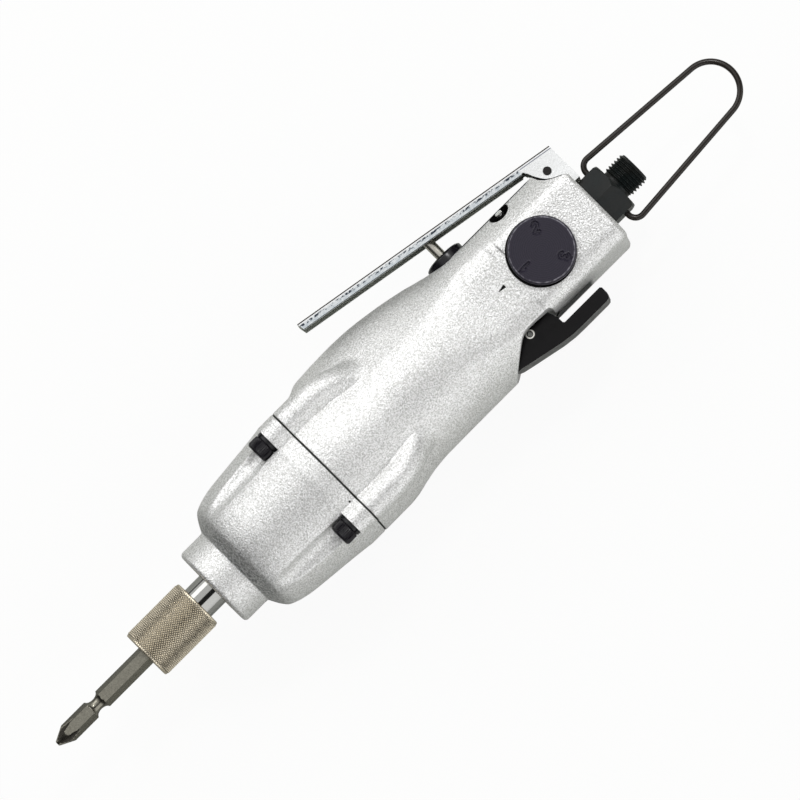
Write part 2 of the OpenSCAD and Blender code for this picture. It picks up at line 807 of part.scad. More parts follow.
module hammer_cage() {
    rear_plate = cage_end_x - cage_rear_t;
    color("slategray") difference() {
        union() {
            bar_x(cage_x, cage_x + cage_front_t, cage_r);
            bar_x(rear_plate, cage_end_x, cage_r);
            for (side = [0, 1]) rotate([90 + side * 180, 0, 0])
                sector_x(cage_x + cage_front_t / 2, rear_plate + cut, cage_r, strut_r,
                    strut_half_angle);
        }
        bar_x(cage_x - cut, cage_x + cage_front_t + cut, anvil_core_r + run_gap);
        bar_x(rear_plate - cut, drive_x, shaft_r + run_gap);
        hex_x(drive_x - cut, cage_end_x + cut, drive_af + run_gap * 4);
        round_x(2) translate([0, pin_circle_r, 0])
            bar_x(cage_x + cage_front_t / 4, cage_end_x + cut, pin_r);
    }
}

module hammer_pins() {
    color("lightgray") round_x(2) translate([0, pin_circle_r, 0])
        bar_x(cage_x + cage_front_t / 4, cage_end_x - pass_gap, pin_r);
}

// Ring hammer that hangs on the pin at +Y and clears the pin at -Y
module hammer(x) {
    difference() {
        union() {
            tube_x(x, x + hammer_t, hammer_r, hammer_bore_r);
            rotate([180, 0, 0])
                sector_x(x, x + hammer_t, hammer_bore_r + cut, hammer_dog_r, dog_half_angle);
        }
        translate([0, pin_circle_r, 0]) bar_x(x - cut, x + hammer_t + cut, pin_r + run_gap);
        translate([0, -pin_circle_r, 0])
            bar_x(x - cut, x + hammer_t + cut, pin_r + pin_relief);
    }
}

module hammer_front() color("dimgray") hammer(hammers_x);
module hammer_rear() color("dimgray") rotate([180, 0, 0]) hammer(hammer_rear_x);

// Jaw of the anvil for the hammer whose dog is at the given angle
module jaw(x, dog_angle) {
    rotate([dog_angle + jaw_lead, 0, 0]) sector_x(x, x + hammer_t, anvil_jaw_r,
        anvil_core_r - cut, jaw_half_angle);
}

module anvil() {
    color("silver") difference() {
        union() {
            bar_x(anvil_x, anvil_step_x, anvil_tip_r);
            bar_x(anvil_step_x, nose_wall + pass_gap, anvil_d / 2);
            bar_x(nose_wall + pass_gap / 2, cage_end_x - cage_rear_t - pass_gap, anvil_core_r);
            bar_x(nose_wall, anvil_end_x, shaft_r);
            jaw(hammers_x, 180);
            jaw(hammer_rear_x, 0);
        }
        rotate([90, 0, 0]) hex_x(anvil_x - cut, bit_rear_x + run_gap * 4, socket_af);
        translate([lock_ball_x, 0, 0]) cylinder(r = lock_ball_d / 2 + run_gap, h = anvil_d);
        tube_x(ring_x, ring_x + ring_w, anvil_tip_r + cut, anvil_tip_r - ring_w / 2);
    }
}

module lock_ball() {
    color("lightsteelblue") translate([lock_ball_x, 0, lock_ball_z])
        sphere(r = lock_ball_d / 2, $fn = 32);
}

// Snap ring in the anvil's groove, open on one side
module sleeve_ring() {
    color("gray") difference() {
        tube_x(ring_x + run_gap / 2, ring_x + ring_w - run_gap / 2,
            sleeve_recess_r - run_gap * 2, anvil_tip_r - ring_w / 2);
        translate([ring_x - cut, -ring_w, -anvil_d])
            cube([ring_w + 2 * cut, ring_w * 2, anvil_d]);
    }
}

module sleeve_spring() {
    inner_r = anvil_tip_r + run_gap;
    color("gray") along_x(sleeve_spring_x + run_gap) coil(inner_r + sleeve_wire_d / 2,
        sleeve_wire_d, sleeve_turns, anvil_step_x - sleeve_spring_x - 2 * run_gap);
}

module chuck_sleeve() {
    edge = sleeve_wire_d;
    color("tan") difference() {
        lathe_x([
            [sleeve_x, 0], [sleeve_x, sleeve_d / 2 - edge], [sleeve_x + edge, sleeve_d / 2],
            [-sleeve_gap - edge, sleeve_d / 2], [-sleeve_gap, sleeve_d / 2 - edge],
            [-sleeve_gap, 0]
        ]);
        bar_x(sleeve_x - cut, lock_ball_x - land_half, sleeve_recess_r);
        bar_x(lock_ball_x - land_half - cut, lock_ball_x + land_half + cut,
            anvil_tip_r + run_gap);
        bar_x(lock_ball_x + land_half, cut - sleeve_gap, sleeve_bore_r);
    }
}

// One half of the bit's turned outline, from its tip inwards
module bit_half() {
    corner_r = bit_af / sqrt(3) + cut / 10;
    groove_end = bit_groove_from + bit_groove_len;
    neck = (corner_r - bit_groove_d / 2) / 2;
    lathe_x([
        [0, 0], [0, bit_af / 8], [bit_point_len, corner_r],
        [bit_groove_from, corner_r], [bit_groove_from + neck, bit_groove_d / 2],
        [groove_end - neck, bit_groove_d / 2], [groove_end, corner_r],
        [bit_len / 2 + cut, corner_r], [bit_len / 2 + cut, 0]
    ]);
}

// The four flutes of the cross point, which run out towards the shank
module bit_flutes() {
    flute = bit_af * 0.42;
    depth = bit_af * 0.16;
    for (i = [0 : 3]) rotate([45 + i * 90, 0, 0]) translate([-cut, 0, depth])
        rotate([0, -17, 0]) rotate([45, 0, 0]) cube([bit_point_len * 2 + cut, flute, flute]);
}

module screwdriver_bit() {
    color("dimgray") translate([-bit_reach, 0, 0]) difference() {
        intersection() {
            rotate([90, 0, 0]) hex_x(0, bit_len, bit_af);
            union() {
                bit_half();
                translate([bit_len, 0, 0]) mirror([1, 0, 0]) bit_half();
            }
        }
        bit_flutes();
        translate([bit_len, 0, 0]) mirror([1, 0, 0]) bit_flutes();
    }
}

module valve_bush() {
    dome_y = top_flat_h + bush_h;
    low_y = seat_y;
    bore_r = stem_r + run_gap;
    color("black") translate([valve_x, 0, 0]) rotate([-90, 0, 0]) difference() {
        rotate_extrude() polygon([
            [0, low_y], [valve_bore_r - seat_gap, low_y],
            [valve_bore_r - seat_gap, top_flat_h], [bush_d / 2, top_flat_h + seat_gap],
            [bush_d / 2 - bush_h * 0.1, top_flat_h + bush_h * 0.45],
            [bush_d / 2 - bush_h * 0.5, dome_y - bush_h * 0.2],
            [stem_r * 1.6, dome_y], [0, dome_y]
        ]);
        cylinder(r = bore_r, h = dome_y + cut);
        translate([0, 0, low_y - cut]) cylinder(r = stem_r * 1.6, h = cut + seat_t * 1.5);
        translate([0, 0, bush_ring_y - o_ring_r])
            cylinder(r = stem_r + 2 * o_ring_r + run_gap, h = 2 * o_ring_r);
        translate([0, 0, low_y + seat_t]) rotate([0, 90, 0])
            cylinder(r = port_r * 0.8, h = 3 * bush_d, center = true);
    }
}

module stem_o_ring() {
    color("black") along_y(valve_x, bush_ring_y) rotate_extrude()
        translate([stem_r + o_ring_r + run_gap / 2, 0])
            circle(r = o_ring_r - run_gap / 2, $fn = 32);
}

module valve_seat() {
    color("white") along_y(valve_x, seat_y - seat_t) difference() {
        cylinder(r = valve_bore_r - seat_gap, h = seat_t);
        translate([0, 0, -cut]) cylinder(r = stem_r * 1.4, h = seat_t + 2 * cut);
    }
}

module valve_stem() {
    head_r = valve_bore_r * 0.78;
    head_y = valve_head_y - valve_head_t;
    tip = stem_r * 0.3;
    color("gray") along_y(valve_x, 0) rotate_extrude() polygon([
        [0, head_y - valve_wire_d], [head_r * 0.4, head_y - valve_wire_d],
        [head_r * 0.4, head_y], [head_r, head_y], [head_r, valve_head_y],
        [stem_r, valve_head_y], [stem_r, stem_tip_y - tip * 1.4],
        [stem_r - tip, stem_tip_y - tip * 0.3], [stem_r * 0.3, stem_tip_y], [0, stem_tip_y]
    ]);
}

module valve_spring() {
    head_r = valve_bore_r * 0.78;
    h = valve_head_y - valve_head_t - valve_floor_y - run_gap * 2;
    color("gray") along_y(valve_x, valve_floor_y + run_gap)
        coil(head_r * 0.4 + valve_wire_d / 2 + run_gap, valve_wire_d, valve_turns, h);
}

// Side view of the lever: a strip down to the given depth under its top, and the cheek
module lever_side() {
    tip_x = lever_pin_x - lever_len;
    tip_top = lever_pin_h + lever_rise + lever_len * slope;
    bend_x = lever_pin_x - lever_rear;
    bend_top = lever_pin_h + lever_rise + lever_rear * slope;
    rear_top = lever_pin_h + lever_rise - lever_rear * slope;
    wall = lever_wall / cos(lever_slope);
    polygon([
        [tip_x, tip_top], [tip_x + lever_wall * slope, tip_top - wall],
        [bend_x, bend_top - wall],
        [lever_pin_x - cheek_drop, lever_pin_h + lever_rise * 0.2],
        [lever_pin_x - cheek_drop / 2, lever_pin_h - cheek_drop / 2],
        [lever_pin_x + lever_rear - tail_depth - lever_t / 2, lever_pin_h - cheek_drop],
        [lever_pin_x + lever_rear - tail_depth, lever_pin_h - cheek_drop],
        [lever_pin_x + lever_rear - tail_depth, lever_pin_h - tail_drop],
        [lever_pin_x + lever_rear, lever_pin_h - tail_drop],
        [lever_pin_x + lever_rear, rear_top]
    ]);
}

// The room inside the channel: all of the side view but the top and rear sheets
module lever_inside() {
    tip_x = lever_pin_x - lever_len - cut;
    inner_rear_x = lever_pin_x + lever_rear - lever_t;
    sheet = lever_t / cos(lever_slope);
    tip_y = lever_pin_h + lever_rise + (lever_len + cut) * slope - sheet;
    rear_y = lever_pin_h + lever_rise - (lever_rear - lever_t) * slope - sheet;
    polygon([
        [tip_x, tip_y], [tip_x, -cut], [inner_rear_x, -cut], [inner_rear_x, rear_y]
    ]);
}

module throttle_lever() {
    color("lightgray") difference() {
        translate([0, 0, -lever_w / 2]) linear_extrude(lever_w) lever_side();
        translate([0, 0, -lever_in_w / 2]) linear_extrude(lever_in_w) lever_inside();
        translate([lever_pin_x, lever_pin_h, -lever_w])
            cylinder(r = lever_pin_d / 2 + run_gap, h = 2 * lever_w);
    }
}

module lever_pin() {
    length = lever_w + lever_t / 2;
    color("dimgray") translate([lever_pin_x, lever_pin_h, -length / 2])
        cylinder(r = lever_pin_d / 2, h = length);
}

module regulator_dial() {
    groove_r = spindle_r - 2 * o_ring_r;
    color("black") difference() {
        translate([dial_x, 0, 0]) rotate_extrude() polygon([
            [0, spindle_z], [spindle_r, spindle_z], [spindle_r, dial_z],
            [dial_d / 2, dial_z], [dial_d / 2, dial_z + dial_h - dial_edge],
            [dial_d / 2 - dial_edge, dial_z + dial_h], [0, dial_z + dial_h]
        ]);
        translate([dial_x, 0, dial_ring_z - o_ring_r]) difference() {
            cylinder(r = spindle_r + cut, h = 2 * o_ring_r);
            translate([0, 0, -cut]) cylinder(r = groove_r, h = 2 * (o_ring_r + cut));
        }
        bar_x(dial_x - spindle_r - cut, dial_x + spindle_r + cut, air_r - run_gap);
        for (i = [0 : 2]) translate([dial_x, 0, dial_z - cut]) rotate(i * 120)
            translate([detent_at, 0, 0]) cylinder(r = detent_r * 0.7, h = detent_r * 0.5 + cut);
    }
}

module dial_o_ring() {
    color("black") translate([dial_x, 0, dial_ring_z]) rotate_extrude()
        translate([spindle_r - o_ring_r, 0]) circle(r = o_ring_r - run_gap / 2, $fn = 32);
}

module detent_ball() {
    color("lightsteelblue") translate([dial_x + detent_at, 0, pad_h - detent_r])
        sphere(r = detent_r, $fn = 32);
}

module detent_spring() {
    wire = detent_r * 0.4;
    z0 = pad_h - detent_depth;
    color("gray") translate([dial_x + detent_at, 0, z0 + run_gap])
        coil(detent_r - wire / 2, wire, 4, detent_depth - 2 * detent_r - 2 * run_gap);
}

module reverse_side() {
    seat = -reverse_seat;
    low = -paddle_y - paddle_t;
    heel = wedge_len - pass_gap * 4;
    polygon([
        [-wedge_len, -paddle_y - pass_gap], [-wedge_top_r * 0.8, -low_flat_h],
        [-wedge_top_r * 0.28, seat - pass_gap * 2], [0, seat - pass_gap],
        [wedge_top_r, seat - pass_gap], [wedge_top_r + pass_gap * 4, seat - roll_pin_d],
        [heel * 0.96, -low_flat_h - pass_gap * 4], [heel * 0.96, -paddle_y],
        [paddle_len, -paddle_y],
        [paddle_len, low + paddle_t * 0.35], [paddle_len - paddle_t * 0.45, low],
        [wedge_len, low], [paddle_t, low + paddle_t * 0.18],
        [-wedge_len + paddle_t / 2, -paddle_y - paddle_t * 0.3]
    ]);
}

module reverse_lever() {
    blade = reverse_w / 2;
    color("black") difference() {
        intersection() {
            translate([reverse_x, 0, -blade]) linear_extrude(reverse_w) reverse_side();
            union() {
                along_y(reverse_x, -spine_h) cylinder(r = wedge_len, h = spine_h);
                translate([reverse_x, -spine_h, -blade]) cube([paddle_len, spine_h, reverse_w]);
            }
        }
        along_y(reverse_x, -reverse_seat - roll_pin_d * 2)
            cylinder(r = reverse_neck_r + seat_gap, h = roll_pin_d * 3);
        translate([reverse_x, -reverse_pin_y, -reverse_w])
            cylinder(r = roll_pin_d / 2, h = 2 * reverse_w);
    }
}

module reverse_valve() {
    slot = reverse_bore_r * 0.6;
    color("gray") difference() {
        along_y(reverse_x, 0) rotate_extrude() polygon([
            [0, -reverse_seat - roll_pin_d * 2 + pass_gap],
            [reverse_neck_r, -reverse_seat - roll_pin_d * 2 + pass_gap],
            [reverse_neck_r, -reverse_seat], [reverse_bore_r - run_gap, -reverse_seat],
            [reverse_bore_r - run_gap, -reverse_top - pass_gap], [0, -reverse_top - pass_gap]
        ]);
        translate([reverse_x - reverse_bore_r - cut, -reverse_top - slot, -slot / 2])
            cube([2 * (reverse_bore_r + cut), slot + cut, slot]);
        translate([reverse_x, -reverse_pin_y, -reverse_w])
            cylinder(r = roll_pin_d / 2, h = 2 * reverse_w);
    }
}

module roll_pin() {
    length = reverse_w + roll_pin_t / 2;
    color("lightgray") translate([reverse_x, -reverse_pin_y, -length / 2]) difference() {
        cylinder(r = roll_pin_d / 2, h = length);
        translate([0, 0, -cut]) cylinder(r = roll_pin_d / 2 - roll_pin_t, h = length + 2 * cut);
    }
}

module inlet_bush() {
    root_x = rear_x - inlet_root_len + pass_gap;
    hex_end = rear_x + inlet_hex_len;
    corner_r = inlet_af / sqrt(3);
    neck = thread_d * 0.07;
    color([0.15, 0.15, 0.14]) difference() {
        union() {
            bar_x(root_x, rear_x - 2 * o_ring_r, inlet_root_r - seat_gap);
            bar_x(root_x, rear_x + cut, inlet_root_r - 2 * o_ring_r);
            intersection() {
                hex_x(rear_x + seat_gap, hex_end, inlet_af);
                lathe_x([
                    [rear_x, 0], [rear_x, corner_r], [hex_end - neck * 1.5, corner_r],
                    [hex_end, inlet_af / 2 - neck / 2], [hex_end, 0]
                ]);
            }
            bar_x(hex_end - cut, inlet_end_x - neck, thread_d / 2);
            lathe_x([
                [inlet_end_x - neck * 1.5, 0], [inlet_end_x - neck * 1.5, thread_d / 2 - neck / 2],
                [inlet_end_x - neck / 2, thread_d / 2 - neck / 2],
                [inlet_end_x, thread_d / 2 - neck], [inlet_end_x, 0]
            ]);
        }
        bar_x(root_x - cut, inlet_end_x + cut, air_r);
        for (side = [0, 1]) mirror([0, side, 0])
            along_y(hanger_x, inlet_af / 2 - hanger_hole_depth)
                cylinder(r = wire_d / 2 + run_gap, h = hanger_hole_depth + cut);
    }
}

// Fine strainer in front of the regulator, a disc with rings of small holes
module inlet_screen() {
    x0 = rear_x - inlet_root_len - pass_gap * 2;
    hole_r = pass_gap * 2;
    color("gray") difference() {
        bar_x(x0, x0 + pass_gap * 3, inlet_chamber_r - seat_gap);
        bar_x(x0 - cut, x0 + cut * 2, hole_r);
        for (i = [0 : 11]) rotate([i * 30, 0, 0])
            translate([0, inlet_chamber_r * (i % 2 == 0 ? 0.7 : 0.4), 0])
                bar_x(x0 - cut, x0 + cut * 2, hole_r);
    }
}

module inlet_o_ring() {
    color("black") ring_x(rear_x - o_ring_r, inlet_root_r - o_ring_r, o_ring_r - run_gap / 2);
}

// Tube of round section along flat points, which lie in the plane z = 0
module bent_wire(points, r) {
    sides = 16;
    last = len(points) - 1;
    rings = [
        for (i = [0 : last]) let (d = points[min(i + 1, last)] - points[max(i - 1, 0)],
            side = [-d[1], d[0]] / norm(d)) for (k = [0 : sides - 1])
                let (a = (k + 0.5) * 360 / sides, p = points[i] + side * r * cos(a))
                    [p[0], p[1], r * sin(a)]
    ];
    walls = [
        for (i = [0 : last - 1]) for (k = [0 : sides - 1])
            let (n = (k + 1) % sides)
                [i * sides + n, i * sides + k, (i + 1) * sides + k, (i + 1) * sides + n]
    ];
    start_face = [[for (k = [0 : sides - 1]) k]];
    end_face = [[for (k = [0 : sides - 1]) last * sides + sides - 1 - k]];
    polyhedron(rings, concat(walls, start_face, end_face), convexity = 4);
}

// Points of an arc about a centre, from one angle to another
function arc(centre, r, from, to, steps) = [
    for (i = [0 : steps]) let (a = from + (to - from) * i / steps)
        centre + r * [cos(a), sin(a)]
];

// Wire hanger: two straight ends in the bush, two corner bends, two leaning
// legs and a round far end, tangent to both legs
module hanger_bail() {
    half = hanger_w / 2;
    half_end = hanger_end_w / 2;
    hole_y = inlet_af / 2 - hanger_hole_depth + pass_gap;
    corner = [hanger_x + hanger_bend, half - hanger_bend];
    far = [hanger_x + hanger_len - half_end, 0];
    lean = atan2(corner[1], far[0] - corner[0])
        - asin((half_end - hanger_bend) / norm(far - corner));
    color([0.2, 0.17, 0.15]) {
        bent_wire(concat(
            [[hanger_x, inlet_af / 2 + wire_d]],
            arc(corner, hanger_bend, 180, 90 - lean, 8),
            arc(far, half_end, 90 - lean, lean - 90, 24),
            arc([corner[0], -corner[1]], hanger_bend, lean - 90, -180, 8),
            [[hanger_x, -inlet_af / 2 - wire_d]]
        ), wire_d / 2 - seat_gap);
        for (side = [0, 1]) mirror([0, side, 0]) along_y(hanger_x, hole_y)
            cylinder(r = wire_d / 2, h = inlet_af / 2 + wire_d * 1.1 - hole_y);
    }
}

module passage_plug() {
    seat_z = grip_r - plug_depth * 2 + seat_gap;
    color("silver") translate([plug_x, 0, 0]) rotate([-plug_angle, 0, 0])
        translate([0, 0, seat_z]) {
            cylinder(r = plug_r - seat_gap, h = plug_depth);
            intersection() {
                translate([0, 0, plug_depth / 2 - plug_r]) sphere(r = plug_r * 1.4);
                cylinder(r = plug_r * 0.75, h = plug_depth * 1.6);
            }
        }
}

// Slotted cover plate of the exhaust
module exhaust_screen() {
    plate = lever_t;
    slot_w = exhaust_len / exhaust_slots / 3;
    color("dimgray") translate([exhaust_x + seat_gap, 0, -grip_r + exhaust_depth - plate])
        difference() {
            translate([0, seat_gap - exhaust_w / 2, -seat_gap])
                cube([exhaust_len - 2 * seat_gap, exhaust_w - 2 * seat_gap, plate]);
            for (i = [0 : exhaust_slots - 1])
                translate([(i + 0.5) * exhaust_len / exhaust_slots, 0, 0])
                    cube([slot_w, exhaust_w * 0.6, plate * 4], center = true);
        }
}

front_case();
rear_housing();
case_gasket();
case_screws();
spring_washers();
nose_bush();
front_end_plate();
rear_end_plate();
cylinder_liner();
liner_dowel();
front_bearing_outer();
front_bearing_balls();
front_bearing_inner();
rear_bearing_outer();
rear_bearing_balls();
rear_bearing_inner();
rotor();
vanes();
hammer_cage();
hammer_pins();
hammer_front();
hammer_rear();
anvil();
lock_ball();
sleeve_ring();
sleeve_spring();
chuck_sleeve();
screwdriver_bit();
valve_bush();
stem_o_ring();
valve_seat();
valve_spring();
valve_stem();
throttle_lever();
lever_pin();
regulator_dial();
dial_o_ring();
detent_ball();
detent_spring();
reverse_lever();
reverse_valve();
roll_pin();
inlet_bush();
inlet_screen();
inlet_o_ring();
hanger_bail();
passage_plug();
exhaust_screen();
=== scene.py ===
import math

import bmesh
import bpy
import numpy as np
from mathutils import Matrix, Vector


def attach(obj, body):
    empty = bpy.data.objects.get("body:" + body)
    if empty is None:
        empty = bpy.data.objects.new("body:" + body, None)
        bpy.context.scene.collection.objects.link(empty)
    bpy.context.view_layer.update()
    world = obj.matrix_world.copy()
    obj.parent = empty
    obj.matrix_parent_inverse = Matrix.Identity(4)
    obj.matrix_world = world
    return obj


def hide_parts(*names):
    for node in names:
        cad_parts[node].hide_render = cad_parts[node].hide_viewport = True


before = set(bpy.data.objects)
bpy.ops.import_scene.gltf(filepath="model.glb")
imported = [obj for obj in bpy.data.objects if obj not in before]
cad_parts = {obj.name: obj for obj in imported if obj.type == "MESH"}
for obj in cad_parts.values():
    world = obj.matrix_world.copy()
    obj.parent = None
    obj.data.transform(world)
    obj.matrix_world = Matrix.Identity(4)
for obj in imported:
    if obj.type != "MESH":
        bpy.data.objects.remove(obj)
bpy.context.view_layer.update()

MM = 0.001

# Sizes in millimetres, the same as in the CAD source
FLANGE_R = 28.2
CASE_LEN = 57.0
CHAMBER_X = 20.0
CHAMBER_R = 20.8
NOSE_LEN = 11.0
NOSE_R = 16.3
NOSE_ROUND = 1.6
NOSE_BORE_R = 10.5
BODY_X = 57.4
BODY_BORE_R = 21.5
REAR_X = 189.1
SEAT_X = 49.9
SCREW_R = 29.0
POCKET_R = 5.2
BOSS_R = 5.7
PIN = (185.2, 19.9)
LEVER_RISE = 7.0
LEVER_SLOPE = math.radians(9.66)
VALVE_X = 138.4
DIAL_X = 163.7
REVERSE_X = 140.6
ROLL_PIN_Y = -16.3
PLUG_X = 162.5
PLUG_LEAN = math.radians(57)
BIT_ENDS = (-76.4, -6.4)
BIT_FLAT = 3.175
BIT_CORNER = 3.72
SLEEVE = (-32.8, -7.2, 10.0)
HANGER_X = 194.61

# Places read from the photograph, in millimetres too
RECESS_X = DIAL_X - 0.47
PIT = (54.7, -14.8)
FLOOR_Z = -28.35


# Meshes

def mesh_object(name, verts, faces, smooth=True, angle=35):
    """A new object from points in millimetres."""
    me = bpy.data.meshes.new(name)
    me.from_pydata([tuple(float(c) * MM for c in v) for v in verts], [],
                   [tuple(int(i) for i in f) for f in faces])
    me.validate()
    ob = bpy.data.objects.new(name, me)
    bpy.context.scene.collection.objects.link(ob)
    shade(ob, smooth, angle)
    return ob


def shade(ob, smooth=True, angle=35):
    """Smooth faces with sharp edges above an angle, normals outwards."""
    bm = bmesh.new()
    bm.from_mesh(ob.data)
    bmesh.ops.recalc_face_normals(bm, faces=bm.faces[:])
    limit = math.radians(angle)
    for f in bm.faces:
        f.smooth = smooth
    for e in bm.edges:
        e.smooth = len(e.link_faces) == 2 and e.calc_face_angle(math.pi) < limit
    bm.to_mesh(ob.data)
    bm.free()
    ob.data.update()


def apply_modifiers(ob):
    dg = bpy.context.evaluated_depsgraph_get()
    me = bpy.data.meshes.new_from_object(ob.evaluated_get(dg))
    ob.modifiers.clear()
    old = ob.data
    ob.data = me
    bpy.data.meshes.remove(old)


def combine(ob, other, operation="DIFFERENCE", angle=35):
    """Exact boolean with another object, which is used up."""
    m = ob.modifiers.new("cut", "BOOLEAN")
    m.operation = operation
    m.solver = "EXACT"
    m.object = other
    apply_modifiers(ob)
    bpy.data.objects.remove(other)
    shade(ob, True, angle)


def cut(ob, tool):
    """Takes a tool out of a casting."""
    combine(ob, tool, angle=50)


def bevelled(ob, width, segments=3, angle=35, keep=38):
    """Bevel on the sharp edges; broad faces stay flat."""
    m = ob.modifiers.new("bevel", "BEVEL")
    m.width = width * MM
    m.segments = segments
    m.limit_method = "ANGLE"
    m.angle_limit = math.radians(angle)
    m.harden_normals = False
    apply_modifiers(ob)
    shade(ob, True, keep)
    for f in ob.data.polygons:
        if f.area > 4 * MM * MM:
            f.use_smooth = False


def rings(name, stack, close=True, caps=False, angle=35, smooth=True):
    """Shell through rings of equal point counts; close joins the last ring to the first."""
    stack = [np.asarray(s, float) for s in stack]
    n = len(stack[0])
    verts = np.vstack(stack)
    faces = []
    count = len(stack)
    for i in range(count if close else count - 1):
        a = i * n
        b = ((i + 1) % count) * n
        for k in range(n):
            m = (k + 1) % n
            faces.append((a + k, a + m, b + m, b + k))
    if caps:
        faces.append(tuple(range(n - 1, -1, -1)))
        faces.append(tuple(range((count - 1) * n, count * n)))
    return mesh_object(name, verts, faces, smooth, angle)


def around_x(x, r, n):
    """Ring about the X axis; r is a number or an array."""
    a = np.arange(n) * 2 * np.pi / n
    r = np.broadcast_to(r, (n,))
    return np.column_stack([np.full(n, float(x)), r * np.cos(a), r * np.sin(a)])


def lathe(name, outline, axis="X", at=(0, 0, 0), n=96, angle=35):
    """Closed body of revolution from (place, radius) points in a loop or from axis to axis."""
    stack = []
    for p, r in outline:
        ring = around_x(p, max(r, 1e-4), n)
        if axis == "Y":
            ring = ring[:, [2, 0, 1]]
        elif axis == "Z":
            ring = ring[:, [1, 2, 0]]
        stack.append(ring + np.asarray(at, float))
    solid = outline[0][1] < 1e-3
    return rings(name, stack, close=not solid, caps=solid, angle=angle)


def prism(name, points, axis, lo, hi):
    """Flat outline extruded: axis Z takes (x, y) points, axis Y takes (x, z) points."""
    n = len(points)
    if axis == "Z":
        verts = [(p[0], p[1], lo) for p in points] + [(p[0], p[1], hi) for p in points]
    else:
        verts = [(p[0], lo, p[1]) for p in points] + [(p[0], hi, p[1]) for p in points]
    faces = [(i, (i + 1) % n, n + (i + 1) % n, n + i) for i in range(n)]
    faces += [tuple(range(n - 1, -1, -1)), tuple(range(n, 2 * n))]
    return mesh_object(name, verts, faces, True, 30)


def smooth_min(a, b, k):
    h = np.clip(0.5 + 0.5 * (b - a) / k, 0, 1)
    return b * (1 - h) + a * h - k * h * (1 - h)


def smooth_max(a, b, k):
    return -smooth_min(-a, -b, k)


def interp(x, table):
    """Smooth curve through (x, value) points, with slopes that never overshoot."""
    t = np.asarray(table, float)
    xs, ys = t[:, 0], t[:, 1]
    h = np.diff(xs)
    d = np.diff(ys) / h
    m = np.zeros(len(xs))
    m[0], m[-1] = d[0], d[-1]
    for i in range(1, len(xs) - 1):
        if d[i - 1] * d[i] > 0:
            w1, w2 = 2 * h[i] + h[i - 1], h[i] + 2 * h[i - 1]
            m[i] = (w1 + w2) / (w1 / d[i - 1] + w2 / d[i])
    x = np.clip(np.asarray(x, float), xs[0], xs[-1])
    i = np.clip(np.searchsorted(xs, x) - 1, 0, len(h) - 1)
    s = (x - xs[i]) / h[i]
    return ((2 * s**3 - 3 * s**2 + 1) * ys[i] + (s**3 - 2 * s**2 + s) * h[i] * m[i]
            + (-2 * s**3 + 3 * s**2) * ys[i + 1] + (s**3 - s**2) * h[i] * m[i + 1])


# Housings

N_PHI = 384
PHI = np.arange(N_PHI) * 2 * np.pi / N_PHI


def from_screws():
    """Angle of each column from its nearest case screw, in radians."""
    return np.abs(PHI % (np.pi / 2) - np.pi / 4)


def plane_r(height, phi0):
    """Radius at which a flat at that height stands, for each column."""
    c = np.cos(PHI - phi0)
    return np.where(c > 0.12, height / np.maximum(c, 0.12), 1e3)


CASE_SHARES = [(0, 0.585), (0.044, 0.716), (0.089, 0.805), (0.135, 0.840), (0.18, 0.865),
               (0.227, 0.883), (0.27, 0.897), (0.452, 0.929), (0.635, 0.957), (0.815, 0.989),
               (0.87, 1), (1, 1)]


def joint_break(gap):
    """How far a housing's edge is drawn in, at a distance from the joint."""
    return {0.0: 0.34, 0.15: 0.10}.get(round(float(gap), 2), 0.0)


def build_front_case():
    run = CASE_LEN - NOSE_LEN
    table = [(NOSE_LEN + s * run, r * FLANGE_R) for s, r in CASE_SHARES]
    xs = np.concatenate([
        NOSE_ROUND * (1 - np.cos(np.linspace(0, np.pi / 2, 7))),
        np.linspace(2.4, 10.4, 12), [10.8, 11.0, 11.2], np.linspace(11.5, 16, 16),
        np.linspace(16.5, 49.4, 74), [49.75, 49.9, 49.95], np.linspace(50.5, 56.3, 13),
        [56.65, 56.85, 57.0]])
    d = from_screws()
    t = SCREW_R * np.sin(d)
    low = SCREW_R * np.cos(d) - np.sqrt(np.maximum(POCKET_R**2 - t**2, 0)) \
        + np.maximum(t - POCKET_R, 0) * 14
    high = SCREW_R * np.cos(d) + np.sqrt(np.maximum(BOSS_R**2 - t**2, 0)) \
        - np.maximum(t - BOSS_R, 0) * 8
    stack = []
    for x in xs:
        if x < NOSE_ROUND:
            r = NOSE_R - NOSE_ROUND + math.sqrt(max(NOSE_ROUND**2 - (NOSE_ROUND - x)**2, 0))
        elif x < NOSE_LEN:
            r = NOSE_R + 0.15 * max(0.0, 1 - (NOSE_LEN - x) / 1.4) ** 2
        else:
            r = float(interp(x, table))
        r = np.full(N_PHI, r)
        if x > SEAT_X + 0.02:
            r = smooth_max(r, high, 1.0)
        elif x > NOSE_LEN + 1:
            r = smooth_min(r, low, 0.9)
        stack.append(around_x(x, r - joint_break(CASE_LEN - x), N_PHI))
    for x, r in [(CASE_LEN, CHAMBER_R), (CHAMBER_X, CHAMBER_R), (CHAMBER_X, NOSE_BORE_R),
                 (0, NOSE_BORE_R)]:
        stack.append(around_x(x, r, N_PHI))
    ob = rings("front_case_shell", stack, angle=50)
    # the small casting pit that shows beside the joint
    cut(ob, lathe("pit", [(23.1, 0), (23.1, 0.3), (30, 0.42), (30, 0)], "Z", (*PIT, 0), 20))
    return ob


# Outlines of the rear housing as (place along the tool, height from its axis)
BODY = [(57.4, 28.2), (65, 28.15), (70.4, 27.7), (77.9, 26.7), (85.3, 25.35), (92, 24.85),
        (104, 24.75), (122, 24.7), (190, 24.7)]
